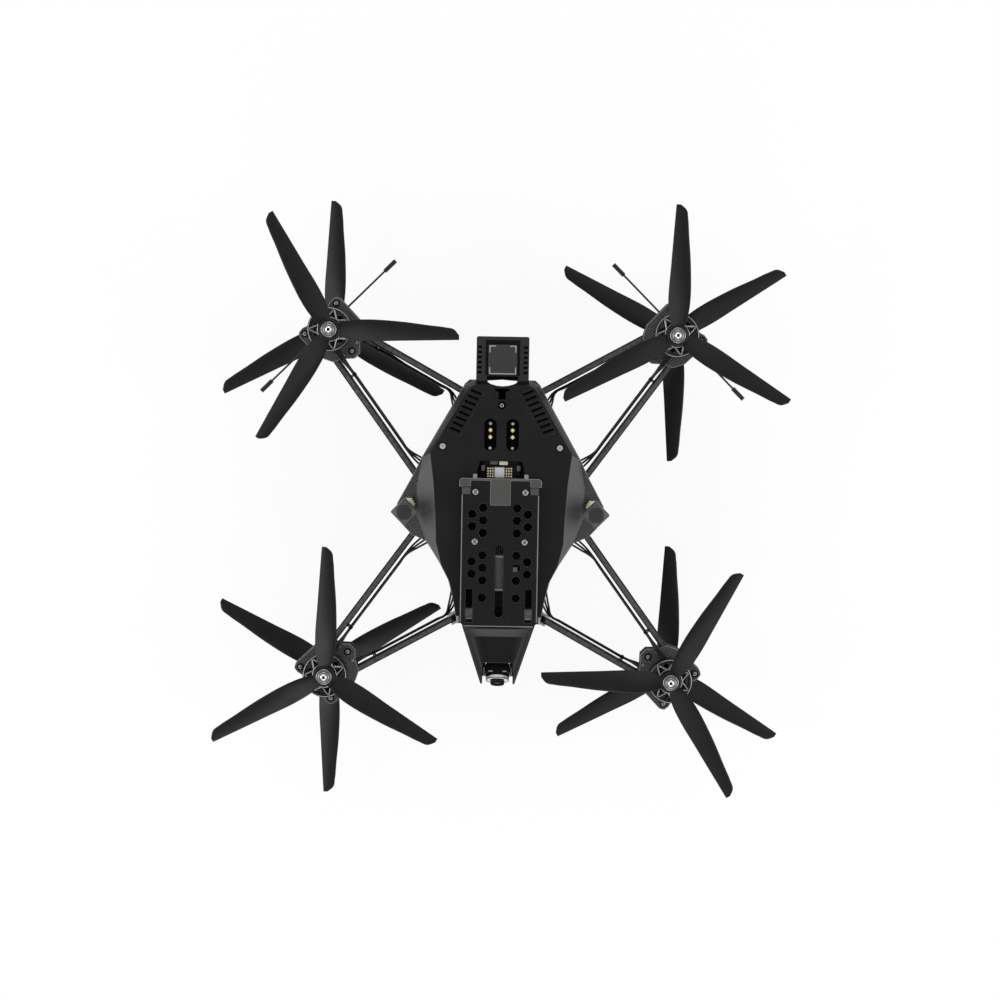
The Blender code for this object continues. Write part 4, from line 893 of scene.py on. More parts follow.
for corner in CORNERS:
    for level in ("upper", "lower"):
        place = motor_place(level, corner)
        name = f"spoked_bell_{level}_{corner}"
        mesh = merged(name, [
            (SPOKES, (SILVER, EDGE), place), (CAN, ANODISED, place), (CAP, (ANODISED, EDGE), place),
            (RIM, EDGE, place), (LINER, LAMINATION, place), (NUT_BODY, NUT, place), (SHAFT, BRIGHT, place),
            (BORE_SHADE, JET_AND_SHADE, place)])
        piece(name, mesh, f"rotor_{level}_{corner}", "bell_metal", f"bell_{level}_{corner}")
print("bell:", len(mesh.polygons), "faces")

# %% [markdown]
# ## Stators
# Inside each bell sit twelve steel teeth wound with enamelled copper; through the spokes only their dark
# crowns show. The tooth is a flat outline and its coil a rounded block. Both are made once and repeated
# round the axis, and a turned foot carries them.

# %% Stators
STATOR_TEETH = 12
TOOTH = bevelled(merged("tooth", [(slab([
    (5.0, -1.1), (12.6, -1.1), (13.3, -2.9), (14.4, -3.2), (14.6, 0), (14.4, 3.2), (13.3, 2.9), (12.6, 1.1),
    (5.0, 1.1)], 7.0, 15.5), LAMINATION, HERE)]), 0.15)
COIL = bevelled(slab([(6.4, -1.5), (12.2, -2.7), (12.2, 2.7), (6.4, 1.5)], 6.2, 16.3), 1.0, 3)
TEETH = round_z(TOOTH, STATOR_TEETH, LAMINATION)
COILS = round_z(COIL, STATOR_TEETH, WINDING)
FOOT = turned([
    (2.6, 0.0), (13.6, 0.0), (14.0, 0.4), (14.0, 2.6), (13.6, 3.0), (7.0, 3.0), (5.6, 4.0), (5.0, 6.0),
    (5.0, 16.0), (4.5, 16.5), (2.6, 16.5)])
print("stator:", len(TEETH.polygons) + len(COILS.polygons), "faces on its teeth and coils")

# %% [markdown]
# ## Leads along the arms
# Three silicone-covered leads leave each motor's base, close up along an arm, and fan out again where they
# slip in between the hull plates. They are fixed wiring, so they are part of the stator piece, as they
# are in the solid. A lead's path is written in the arm's own measures: how far from the motor, how far
# aside of the arm's middle, and how high. One function turns these into a place for any arm, because the
# four corners are mirror images.

# %% Leads along the arms
MOTOR_AT = 136.0
ARM_SET = {"inner": (1, (55.5, 6.5), 11.0), "outer": (-1, (12.4, 78.5), 9.4)}
LEADS = {"upper": ("inner", 5.4, 40.0, (29.0, 9.0)), "lower": ("outer", 5.0, 31.0, (15.0, 13.0))}
LEAD_RADIUS = 0.8
LEAD_DROP = 1.5
ARM_MIDDLE = 60.5


def on_arm(corner, kind, along, aside):
    """Place by an arm, in mm: along from the motor, and aside of its middle towards the other arm."""
    side, root, offset = ARM_SET[kind]
    across, back = MOTOR_AT - root[0], MOTOR_AT - root[1]
    length = math.sqrt(across ** 2 + back ** 2 - offset ** 2)
    angle = math.atan2(back, across) - side * math.atan2(offset, length)
    out = offset - aside
    x = MOTOR_AT + side * out * math.sin(angle) - along * math.cos(angle)
    y = MOTOR_AT - side * out * math.cos(angle) - along * math.sin(angle)
    sx, sy = SIDES[corner]
    return Vector((sx * x, sy * y)), length


def lead(corner, level, number):
    """One lead from a motor's base into the hull; a row of its path is along, aside and height in mm."""
    kind, beside, short, splay = LEADS[level]
    bend = on_arm(corner, kind, 0, 0)[1] - short
    fan = number - 1
    drop = -LEAD_DROP * (fan + 1)
    level_z = ARM_MIDDLE + 1.0 + drop
    near = beside + 0.45 * fan
    path = ((11, beside + 2.2 * fan, 71.8), (19, beside + 1.7 * fan, 72.2),
            (27, beside + 1.1 * fan, 72.6 + 0.5 * drop), (34, near, 67.0 + drop), (42, near, level_z),
            (52, near, level_z), (bend - 8, near, level_z), (bend, near, level_z),
            (bend + 0.4 * splay[0], beside + 0.3 * splay[1] + 2.3 * fan, level_z),
            (bend + splay[0], beside + splay[1] + 4.2 * fan, level_z))
    points = []
    for along, aside, z in path:
        flat = on_arm(corner, kind, along, aside)[0]
        points.append(Vector((*flat, z if level == "upper" else 2 * ARM_MIDDLE - z)) * MM)
    return tube(points, LEAD_RADIUS * MM)


for corner in CORNERS:
    for level in ("upper", "lower"):
        place = motor_place(level, corner)
        name = f"wound_stator_{level}_{corner}"
        parts = [(TEETH, LAMINATION, place), (COILS, WINDING, place), (FOOT, ANODISED, place)]
        parts += [(lead(corner, level, number), SILICONE, HERE) for number in range(3)]
        mesh = merged(name, parts)
        piece(name, mesh, "airframe", "stator", f"stator_{level}_{corner}")
print("stator:", len(mesh.polygons), "faces with its leads")

# %% [markdown]
# ## Bolts on the motor mounts
# Every plate is held by small socket-head screws. The head is turned: a low dome with a hexagonal pocket
# for the key. One head per size is made, and the node tree sets it on each place. On the mounts three
# bolts with black washers go through to the posts, seen from above and from below, and two small screws
# hold the arms.


# %% Bolts on the motor mounts
def head(radius, height, pocket=0.5):
    """Button head with a hexagonal pocket of a share of its radius, seated at z = 0."""
    key = pocket * radius
    return turned([
        (0.0, -0.2), (radius, -0.2), (radius, 0.3 * height), (0.93 * radius, 0.62 * height),
        (0.78 * radius, 0.9 * height), (0.62 * radius, height), (key, height, 1), (key, 0.35 * height, 1),
        (0.0, 0.3 * height)], 36, 6)


def cup(inner, outer, height):
    """Washer with a rounded rim."""
    return turned([
        (inner, 0.0), (outer, 0.0), (outer, 0.6 * height), (outer - 0.3, height), (inner, height)], 36)


def on_mount(corner, along, across):
    """Place by a mount's own axes, in mm: along runs from its motor towards the hull."""
    sx, sy = SIDES[corner]
    slant = math.sqrt(0.5)
    return sx * (MOTOR_AT - (along + across) * slant), sy * (MOTOR_AT - (along - across) * slant)


UP, DOWN = (0, 0, 0), (math.pi, 0, 0)
MOUNT_TOP, MOUNT_BELOW = 70.0, 51.0
POSTS = ((24.0, 0.0), (-11.3, 17.2), (-11.3, -17.2))
ARM_SCREW = (22.0, 7.4)
parts = []
for mesh, finish in ((head(1.75, 1.5), STEEL), (cup(1.75, 2.9, 0.9), JET_AND_SHADE)):
    for z, turn in ((MOUNT_TOP, UP), (MOUNT_BELOW, DOWN)):
        spots = [(*on_mount(corner, *post), z) for corner in CORNERS for post in POSTS]
        parts.append((fasteners(mesh, spots, finish, turn), finish, HERE))
spots = [(*on_mount(corner, ARM_SCREW[0], side * ARM_SCREW[1]), MOUNT_TOP)
         for corner in CORNERS for side in BOTH]
parts.append((fasteners(head(1.1, 0.9), spots, STEEL), STEEL, HERE))
piece("mount_bolts", merged("mount_bolts", parts), "airframe", "beam_metal")
print("mount bolts:", 2 * len(POSTS) * len(CORNERS), "and", len(spots), "small screws")

# %% [markdown]
# ## Screws on the hull
# The same heads hold the battery plate, the shell's shoulders and the belly. The shoulder screws sit in
# thin black washers and have a narrow pocket. A steel eyelet in a black ring sits at the tail of the roof.

# %% Screws on the hull
PLATE_TOP, SHELL_TOP, BELLY = 101.5, 95.3, 51.5
plate_spots = [(side * 19.5, y, PLATE_TOP) for side in BOTH for y in (11.4, -27.5)]
shell_spots = [(side * 45.8, 46.4, SHELL_TOP) for side in BOTH]
belly_spots = [(side * x, y, BELLY) for side in BOTH for x, y in ((24, 48), (20, -52), (50, 12), (50, -12))]
eyelet_spot = [(0, 79.0, SHELL_TOP)]
parts = [(fasteners(*wanted), wanted[2], HERE) for wanted in (
    (head(2.4, 1.5), plate_spots, STEEL),
    (head(2.3, 1.1, 0.2), shell_spots, SILVER),
    (cup(2.3, 3.3, 0.35), shell_spots, JET_AND_SHADE),
    (head(2.6, 1.4), belly_spots, STEEL, DOWN),
    # the eyelet's black ring, in the shade black, which also fills its hole as painted shade
    (cup(0.0, 3.1, 0.3), eyelet_spot, SHADE_BLACK),
    (cup(0.75, 1.5, 0.6), eyelet_spot, STEEL),
)]
piece("hull_screws", merged("hull_screws", parts), "airframe", "beam_metal")
print("hull screws:", len(plate_spots) + len(shell_spots) + len(belly_spots))

# %% [markdown]
# ## Vent louvres
# Beside the sockets the hull breathes through two slanting rows of eight gaps. Each row is a moulded frame
# of fins over a black backing, which is painted shade for the inside of the gaps: one fin is made and
# repeated along the row, and two rails close the row along its sides. A third black sheet, also painted
# shade, lies under the cable notch at the tail. The fins sit a little lower than the rails, so that no two
# faces share a plane.

# %% Vent louvres
ROW = (Vector((20.8, 89.4)), Vector((36.9, 59.8)))
GAPS = 8
SLANT = math.radians(22)
FIN_HALF, FIN_DEPTH = 1.38, 0.7
LOUVRE = (-6.9, 4.6)
GAP_START = -5.0
RAIL = 0.5
SUNK = 0.3
LOUVRE_TOP = SHELL_TOP + 0.5
NOTCH = [(-9, 82), (9, 82), (9, 92.5), (-9, 92.5)]
row_step = (ROW[1] - ROW[0]) / (GAPS - 1)
row_ends = (ROW[0] - 0.7 * row_step, ROW[1] + 0.7 * row_step)
across_row = Vector((math.cos(SLANT), math.sin(SLANT)))
fin_spots = [ROW[0] + (number - 0.5) * row_step for number in range(GAPS + 1)]


def strip(side, start, end, high):
    """Slanting strip along a row of louvres, between two distances across it."""
    corners = [row_ends[0] + start * across_row, row_ends[0] + end * across_row,
               row_ends[1] + end * across_row, row_ends[1] + start * across_row]
    return bevelled(slab([(side * p.x, p.y) for p in corners], SHELL_TOP - SUNK, high), 0.1)


parts = []
for side in BOTH:
    ends = sorted((side * (GAP_START - 0.2), side * (LOUVRE[1] - SUNK)))
    fin = bevelled(slab([
        (ends[0], -FIN_HALF), (ends[1], -FIN_HALF), (ends[1], FIN_HALF), (ends[0], FIN_HALF)],
        -FIN_DEPTH, 0.0), 0.25, 2)
    spots = [(side * spot.x, spot.y, LOUVRE_TOP - 0.1) for spot in fin_spots]
    parts += [
        (fasteners(fin, spots, SHELL, (0, 0, side * SLANT)), SHELL, HERE),
        (strip(side, LOUVRE[0], GAP_START, LOUVRE_TOP), SHELL, HERE),
        (strip(side, LOUVRE[1] - RAIL, LOUVRE[1], LOUVRE_TOP), SHELL, HERE),
        # painted shade: black backing under the gaps
        (strip(side, LOUVRE[0] + SUNK, LOUVRE[1] - SUNK, SHELL_TOP + 0.1), SHADE_BLACK, HERE)]
# painted shade: black sheet under the cable notch
parts.append((bevelled(slab(NOTCH, 86.0, 86.6), 0.1), SHADE_BLACK, HERE))
piece("vent_louvres", merged("vent_louvres", parts), "airframe", "moulded")
print("louvres:", 2 * GAPS, "gaps of", round((row_step.length - 2 * FIN_HALF), 1), "mm")

# %% [markdown]
# ## Power contacts
# Two black sockets sit sunk in the roof, each with two gold bullets for the battery and a silver screw
# at either end. A bullet is turned with a rounded nose and a collar, and stands in its bore.

# %% Power contacts
SOCKET_X, SOCKET_TOP = 8.7, 94.0
bullet = turned([
    (0.0, -6.0), (1.1, -6.0), (1.1, -0.3), (1.0, 0.1), (0.7, 0.35), (0.4, 0.45), (0.0, 0.5)], 32)
collar = turned([(1.1, -2.0), (1.65, -2.0), (1.65, 0.0), (1.5, 0.12), (1.1, 0.12)], 32)
bullet_spots = [(side * SOCKET_X, y, SOCKET_TOP) for side in BOTH for y in (59.55, 54.05)]
end_spots = [(side * SOCKET_X, y, SOCKET_TOP) for side in BOTH for y in (64.7, 45.4)]
parts = [
    (fasteners(bullet, bullet_spots, PALE_GOLD), PALE_GOLD, HERE),
    (fasteners(collar, bullet_spots, GOLD), GOLD, HERE),
    (fasteners(head(1.2, 0.7, 0.3), end_spots, SILVER), SILVER, HERE),
]
piece("power_contacts", merged("power_contacts", parts), "airframe", "beam_metal")
print("contacts:", len(bullet_spots), "bullets,", len(end_spots), "screws")

# %% [markdown]
# ## Power board
# Behind the battery plate the hull is open, and the board below shows: a small card with two blocks of
# gold-plated pins, a bare metal shield between them, a plated strip, and a few grey and black plugs at
# the sides. The pins are turned once and repeated; the rest are boxes with worn edges.

# %% Power board
CARD_TOP = 84.5
PIN_COLUMNS = (-10.1, -8.2, -6.3, 4.4, 6.3, 8.2)
PIN_ROWS = [29.3 - 2.05 * row for row in range(4)]
header_pin = turned([(0.0, 0.0), (0.74, 0.0), (0.74, 6.0), (0.55, 6.3), (0.0, 6.4)], 16)
pin_spots = [(x, y, CARD_TOP) for x in PIN_COLUMNS for y in PIN_ROWS]


def block(x, y, z, width=0.25, segments=2):
    """Box between pairs of sides in mm, with worn edges."""
    corners = [(x[0], y[0]), (x[1], y[0]), (x[1], y[1]), (x[0], y[1])]
    return bevelled(slab(corners, *z), width, segments)


def on_side(side, near, far):
    """Pair of X values on one side of the middle, low one first."""
    return sorted((side * near, side * far))


parts = [
    (block((-11.8, 9.9), (21.4, 31.2), (83.75, CARD_TOP), 0.1), SOLDER_MASK, HERE),
    (fasteners(header_pin, pin_spots, PALE_GOLD), PALE_GOLD, HERE),
    (block((-4.9, 2.8), (22.2, 30.3), (CARD_TOP, 91.2)), BARE, HERE),
    (block((-1.3, 5.4), (32.2, 35.2), (82.0, 91.4)), PALE_GOLD, HERE),
    (block((-8.6, -2.4), (32.4, 35.2), (82.0, 88.4)), WORN, HERE),
]
for side in BOTH:
    parts.append((block(on_side(side, 12.6, 15.8), (22.6, 33.6), (80.7, 84.4)), BLACK_CASE, HERE))
    parts.append((block(on_side(side, 12.6, 15.4), (27.4, 31.6), (84.4, 88.6)), WORN, HERE))
piece("board_parts", merged("board_parts", parts), "airframe", "circuit")
print("board:", len(pin_spots), "pins")

# %% [markdown]
# ## Capacitor fittings
# The big electrolytic capacitor lies along the hull under the plate's long slot. Its sleeve is drawn in to a
# groove near one end, two bright straps hold it and three wires leave from the rear. A spacer nut stands
# beside it, and two flat black pads under the plate are painted shade, which makes its other openings look
# dark.

# %% Capacitor fittings
# shrunk PVC: a smooth light grey with a soft line of light along the top
SLEEVE = grained("grey_shrink_sleeve", "#7e7e80", "#8e8e90", 0.8, 0.4, bump=0.05)
CAN_Y, CAN_Z = -53.5, 76.8
STRAP = 1.1
lying = Matrix.Translation(Vector((0, CAN_Y, CAN_Z)) * MM) @ Matrix.Rotation(math.radians(90), 4, "X")
shrink_sleeve = turned([
    (0.0, -14.5), (5.6, -14.5), (6.3, -14.1), (6.5, -13.4), (6.5, 10.2), (6.2, 10.9), (6.0, 11.3),
    (6.2, 11.7), (6.5, 12.3), (6.5, 13.6), (6.2, 14.3), (5.4, 14.5), (5.2, 14.2), (0.0, 14.2)], 48)
wires = [tube([Vector((x, y, CAN_Z)) * MM for y in (-39.2, -36.0, -32.5)], 0.45 * MM)
         for x in (-1.8, 0.0, 1.8)]
spacer_nut = block((10.7, 14.3), (-51.6, -47.8), (88.0, 93.0), 0.4)
straps = [turned([(6.4, y), (6.9, y), (6.9, y + STRAP), (6.4, y + STRAP)], 48) for y in (-13.6, 12.6)]
# painted shade: two flat black pads under the battery plate's openings
shade_pads = [block(on_side(side, 7.4, 27.5), (-80.2, 6.0), (84.6, 85.8), 0.4) for side in BOTH]
mesh = merged("sleeved_capacitor", [
    (shrink_sleeve, SLEEVE, lying), *[(wire, STEEL, HERE) for wire in wires], (spacer_nut, SILVER, HERE),
    *[(strap, BARE, lying) for strap in straps], *[(pad, JET_AND_SHADE, HERE) for pad in shade_pads]])
piece("sleeved_capacitor", mesh, "airframe", "capacitor", "capacitor")
print("capacitor:", len(mesh.polygons), "faces")

# %% [markdown]
# ## Camera case
# A small square camera hangs on two pins in the nose. Its black case has cut corners and cooling ribs,
# and two steel lugs on top. It leans 22 degrees up, so that the view is level while the craft flies nose
# down. Everything is made square about the pins and tilted as one.

# %% Camera case
CAMERA_TILT = math.radians(-22)
tilt = Matrix.Translation(joint_at["camera_tilt"]) @ Matrix.Rotation(CAMERA_TILT, 4, "X")
pin_axis = tilt @ Matrix.Rotation(math.radians(90), 4, "Y")
case = bevelled(slab([
    (-6.8, 5.5), (-9.4, 2.0), (-9.4, -4.6), (9.4, -4.6), (9.4, 2.0), (6.8, 5.5)], -1.0, 9.0), 0.7, 3)
back = block((-9.4, 9.4), (-4.6, 5.5), (-9.0, -1.0), 0.6)
lugs = [block(on_side(side, 3.8, 7.2), (-4.4, -3.2), (8.6, 9.3), 0.3) for side in BOTH]
rib = block((-0.5, 0.5), (-2.6, 4.6), (8.8, 9.35), 0.15)
ribs = fasteners(rib, [(2.5 * number, 0, 0) for number in range(-3, 4)], JET_AND_SHADE)
tilt_pin = turned([(0.0, -12.0), (1.5, -12.0), (1.5, 12.0), (0.0, 12.0)], 24)
case_parts = [(case, JET_AND_SHADE, tilt), (back, JET_AND_SHADE, tilt)]
case_trim = [*[(lug, STEEL, tilt) for lug in lugs], (tilt_pin, STEEL, pin_axis), (ribs, JET_AND_SHADE, tilt)]
print("camera case:", len(case.polygons) + len(back.polygons), "faces")

# %% [markdown]
# ## Camera lens
# A bright, bulged ring screws the lens down on its seat, with a black gasket round it. The lens itself
# is a dark barrel with one focus line and a domed glass. All of it is turned, and then laid to look
# forward. The coating makes the glass nearly black, so it is a dark, smooth finish and not a clear one.

# %% Camera lens
# coated glass: blue-black and smooth, clouded over 3 mm, with one sharp reflection
GLASS = grained("coated_lens_glass", "#030406", "#0c0f18", 3.0, 0.12, specular=0.15, bump=0.02)
outward = tilt @ Matrix.Rotation(math.radians(90), 4, "X")
seat = turned([(5.6, 4.0), (8.7, 4.0), (9.1, 4.4), (9.1, 5.9), (8.6, 6.2), (5.6, 6.2)], 72)
ring = turned([
    (5.6, 6.2), (8.3, 6.2), (8.9, 6.4), (9.2, 6.8), (9.25, 7.2), (9.1, 7.4), (9.1, 7.6), (9.2, 7.8),
    (8.9, 8.4), (8.3, 8.8), (7.5, 9.0), (6.7, 9.0), (6.5, 8.4), (5.6, 8.4)], 72)
gasket = turned([(8.5, 8.6), (8.95, 8.5), (9.1, 8.75), (8.95, 9.0), (8.5, 9.0)], 72)
focus_line = turned([(5.4, 9.8), (5.62, 9.8), (5.62, 10.5), (5.4, 10.5)], 64)
lens_barrel = turned([
    (0.0, 4.0), (5.5, 4.0), (5.5, 8.8), (5.2, 9.0), (5.2, 9.4), (5.5, 9.6), (5.5, 11.8), (5.2, 12.2),
    (4.8, 12.2), (4.3, 10.4), (0.0, 10.2)], 64)
dome = turned([(0.0, 10.2), (4.2, 10.3), (3.9, 10.7), (2.8, 11.1), (1.4, 11.3), (0.0, 11.35)], 48)
lens_parts = [
    (seat, JET_AND_SHADE, outward), (ring, BARE, outward), (gasket, JET_AND_SHADE, outward), (lens_barrel, JET_AND_SHADE, outward),
    (focus_line, GREY_CASE, outward), (dome, GLASS, outward)]
mesh = merged("nose_camera", case_parts + lens_parts + case_trim)
piece("nose_camera", mesh, "camera", "camera_case", "camera")
print("camera:", len(mesh.polygons), "faces with its lens")

# %% [markdown]
# ## Camera brackets
# Beside the camera the nose is filled by two low sills of the same nylon, which leave the case room to
# tilt. A short silver bar lies on each.

# %% Camera brackets
SILL_TOP = 76.4
parts = []
for side in BOTH:
    parts.append((block(on_side(side, 9.44, 12.9), (-135.8, -114.5), (73.3, SILL_TOP), 0.12), NOSE, HERE))
    parts.append((block(on_side(side, 10.3, 11.2), (-135.8, -128.6), (SILL_TOP, 77.1), 0.15), SILVER, HERE))
piece("camera_brackets", merged("camera_brackets", parts), "airframe", "beam_metal")
print("brackets:", len(parts), "parts")

# %% [markdown]
# ## Receiver trim
# The satellite receiver's lid has plain corner lines and one line across its front, here as hair-thin raised
# strips. A thin black strip and black pads between the receiver and its tray are painted shade: they darken
# the gaps round the receiver, where shade falls.

# %% Receiver trim
# printed ink: a flat pale grey line
PALE_INK = grained("pale_marking_ink", "#8e8e8d", "#a2a2a1", 0.6, 0.6, bump=0.05)
LID_TOP, INK = 92.8, 0.06
LID_REAR, LID_FRONT = 125.6, 103.2
LINE = 0.8


def ink_line(x, y):
    """Hair-thin strip on the receiver's lid."""
    return block(x, y, (LID_TOP, LID_TOP + INK), 0.02, 1), PALE_INK, HERE


marks = []
for side in BOTH:
    for y, way in ((LID_REAR, -1), (LID_FRONT, 1)):
        marks.append(ink_line(on_side(side, 10.5, 9.7), sorted((y, y + way * 5.4))))
        marks.append(ink_line(on_side(side, 9.7, 5.4), sorted((y, y + way * LINE))))
marks.append(ink_line((-5.4, 5.4), (LID_FRONT, LID_FRONT + LINE)))
piece("lid_marks", merged("lid_marks", marks), "airframe", "antenna")
# painted shade: a thin black strip in front of the receiver, and black pads along its sides and rear
seal = block((-12.2, 12.2), (98.9, 101.6), (91.4, 91.62), 0.05, 1)
shade_padding = [block(on_side(side, 10.6, 13.6), (102.0, 129.6), (89.6, 91.5), 0.2) for side in BOTH]
shade_padding.append(block((-13.6, 13.6), (125.8, 130.0), (89.6, 91.6), 0.2))
mesh = merged("receiver_seal", [(seal, SHADE_BLACK, HERE), *[(pad, JET_AND_SHADE, HERE) for pad in shade_padding]])
piece("receiver_seal", mesh, "airframe", "antenna")
print("receiver:", len(marks), "lines,", len(shade_padding), "pads")

# %% [markdown]
# ## Stop pads
# The grey stop at the rear of the battery plate gets the two pads that sit on the plate's corners, and the
# two pale lugs behind it.

# %% Stop pads
parts = []
for side in BOTH:
    pad = block(on_side(side, 23.4, 29.9), (9.6, 14.9), (PLATE_TOP, PLATE_TOP + 0.5), 0.2)
    lug = block(on_side(side, 18.4, 21.6), (22.0, 25.4), (99.2, 101.2), 0.5, 3)
    parts += [(pad, STOP, HERE), (lug, PALE_TPU, HERE)]
piece("stop_pads", merged("stop_pads", parts), "airframe", "grey_rubber")
print("stop:", len(parts), "pads and lugs")

# %% [markdown]
# ## Video antennas
# Each video antenna screws on to a gold-plated coaxial connector on a wing. The connector's mast leans a
# little outwards and forwards, with a hexagon and a knurled ring round it, and carries an upright cap: a
# square on its corner with a wide chamfer above and below. The cap is built ring by ring, because its
# corners are cut by a different amount at each height.


# %% Video antennas
def cap():
    """Antenna cap: a square on its corner with a wide chamfer above and below, closed."""
    build = bmesh.new()
    rings = []
    for reach, cut, z in ((8.8, 3.1, 0.0), (10.9, 0.4, 3.0), (10.9, 0.4, 16.4), (8.8, 3.1, 19.4)):
        corners = []
        for quarter in range(4):
            turn = Matrix.Rotation(quarter * math.pi / 2, 3, "Z")
            corners += [turn @ Vector((reach - cut, -cut, z)), turn @ Vector((reach - cut, cut, z))]
        rings.append([build.verts.new(corner * MM) for corner in corners])
    for one, two in zip(rings, rings[1:]):
        for number in range(len(one)):
            after = (number + 1) % len(one)
            build.faces.new((one[number], one[after], two[after], two[number]))
    build.faces.new(rings[0])
    build.faces.new(rings[-1])
    return bevelled(plain(build, "cap"), 0.25)


nut = turned([(3.0, 3.2, 1), (4.6, 3.2, 1), (4.6, 6.2, 1), (4.3, 6.6), (3.0, 6.6)], 48, 6)
band = turned([(3.0, 6.6), (5.0, 6.6), (5.0, 9.2), (4.6, 9.6), (3.0, 9.6)], 48)
base = turned([(0.0, 0.0), (4.8, 0.0), (4.8, 1.2), (4.4, 1.6), (0.0, 1.6)], 48)
mast = turned([(0.0, 1.0), (3.2, 1.0), (3.2, 18.0), (0.0, 18.0)], 40)
collars = []
for side, hand in zip(BOTH, ("left", "right")):
    standing = Matrix.Translation(Vector((side * 71.8, 0.5, 70.3)) * MM)
    up = Vector((side * 0.17, -0.26, 1)).normalized()
    leaning = standing @ Vector((0, 0, 1)).rotation_difference(up).to_matrix().to_4x4()
    cap_at = Matrix.Translation(Vector((side * 74.9, -5.5, 83.6)) * MM)
    collars += [(nut, PALE_GOLD, leaning), (band, PALE_GOLD, leaning)]
    name = f"capped_antenna_{hand}"
    mesh = merged(name, [(base, ANTENNA, standing), (mast, ANTENNA, leaning), (cap(), ANTENNA, cap_at)])
    piece(name, mesh, "airframe", "antenna", f"video_antenna_{hand}")
piece("antenna_collars", merged("antenna_collars", collars), "airframe", "beam_metal")
print("antenna:", len(mesh.polygons), "faces")

# %% [markdown]
# ## Clips and clamps on the arms
# Small rubber clips, each with a tiny screw, keep the leads against the arms. Where the front arms leave
# the hull a machined saddle holds each, with a dark bolt through it, and a silver tab shows on the shell.
# All are made about the origin and set along the arm by one function.

# %% Clips and clamps on the arms
CLIP_AT, CLAMP_AT = 40.0, 110.0
CLIP_TOP, CLAMP_TOP = 64.5, 68.2
CLIP_REACH = {"inner": 6.9, "outer": 6.5}


def along_arm(corner, kind, along, aside, z):
    """Place on an arm, its X along the arm and its Y aside."""
    spot = on_arm(corner, kind, along, aside)[0]
    ahead = on_arm(corner, kind, along + 10, aside)[0] - spot
    turn = Matrix.Rotation(math.atan2(ahead.y, ahead.x), 4, "Z")
    return Matrix.Translation(Vector((*spot, z)) * MM) @ turn


clamps, clips = [], []
for corner in CORNERS:
    for kind in ("inner", "outer"):
        toward = -SIDES[corner][0] * SIDES[corner][1] * ARM_SET[kind][0]
        clip = block((-1.1, 1.1), on_side(toward, 2.4, CLIP_REACH[kind]), (56.5, CLIP_TOP), 0.4)
        clips.append((clip, JET_AND_SHADE, along_arm(corner, kind, CLIP_AT, 0, 0)))
        clips.append((head(0.8, 0.6), STEEL, along_arm(corner, kind, CLIP_AT, 3.4, CLIP_TOP)))
    if corner.startswith("front"):
        for side in BOTH:
            cheek = block((-4.0, 4.0), on_side(side, 2.7, 4.4), (55.0, CLAMP_TOP), 0.3)
            clamps.append((cheek, SILVER, along_arm(corner, "outer", CLAMP_AT, 0, 0)))
        clamps.append((head(2.4, 1.5), JET_AND_SHADE, along_arm(corner, "outer", CLAMP_AT, 0, CLAMP_TOP)))
        tab = block(on_side(SIDES[corner][0], 31.0, 32.8), (-92.4, -86.6), (SHELL_TOP, 96.2), 0.3)
        clamps.append((tab, SILVER, HERE))
piece("arm_clamps", merged("arm_clamps", clamps), "airframe", "beam_metal")
piece("lead_clips", merged("lead_clips", clips), "airframe", "black_rubber")
print("arms:", len(clips) // 2, "clips,", len(clamps), "parts of clamps")

# %% [markdown]
# ## Cross beam
# A milled bar ties the two front arms together across the hull. Its ends, with a raised lip each, show
# bright through the strap slots of the battery plate; a black rubber sleeve covers its middle, where the
# strap runs over it.

# %% Cross beam
milled = block((-30.0, 30.0), (-90.9, -81.4), (70.3, 84.3), 0.9, 1)
strap_sleeve = block((-14.0, 14.0), (-91.1, -81.2), (76.0, 84.8), 0.6)
lips = [block(on_side(side, 21.0, 29.5), (-90.4, -88.2), (84.0, 93.0), 0.3) for side in BOTH]
mesh = merged("milled_cross_beam", [
    (milled, BARE, HERE), (strap_sleeve, JET_AND_SHADE, HERE), *[(lip, BARE, HERE) for lip in lips]])
piece("milled_cross_beam", mesh, "airframe", "beam_metal", "cross_beam")
print("beam:", len(mesh.polygons), "faces")

# %% [markdown]
# ## Edge lines of the battery plate
# The battery plate's long sides and its front are left as cut, so they show as thin pale lines. They are
# slender strips let into the plate's rim, because a bevel there would also pale the rims of its holes.

# %% Edge lines of the battery plate
LINE_Z = (101.3, 101.62)
parts = [(block(on_side(side, 29.4, 30.2), (-90.5, 9.2), LINE_Z, 0.1, 1), CHAMFER, HERE) for side in BOTH]
parts.append((block((-27.0, 27.0), (-94.0, -93.3), LINE_Z, 0.1, 1), CHAMFER, HERE))
piece("plate_edge_lines", merged("plate_edge_lines", parts), "airframe", "carbon")
print("plate:", len(parts), "edge lines")

# %% [markdown]
# ## Skid pads
# The skids are plates on edge; soft pads with a rounded foot are pushed on to their lower bars.

# %% Skid pads
SKID_X, PAD_HALF, PAD_REACH = 34.5, 2.6, 12
parts = []
for side in BOTH:
    for y in (-46.0, 46.0):
        pad = block((side * SKID_X - PAD_HALF, side * SKID_X + PAD_HALF), (y - PAD_REACH, y + PAD_REACH),
                    (0.02, 5.0), 0.9, 3)
        parts.append((pad, BLACK_CASE, HERE))
piece("skid_pads", merged("skid_pads", parts), "airframe", "black_rubber")
print("skids:", len(parts), "pads")

# %% [markdown]
# ## White surroundings
# The picture is a cut-out on white. The world gives a soft fill from all round at half strength; the
# camera, and rays that pass through glass, see plain white in its place. So the backdrop is white without
# more light on the object.

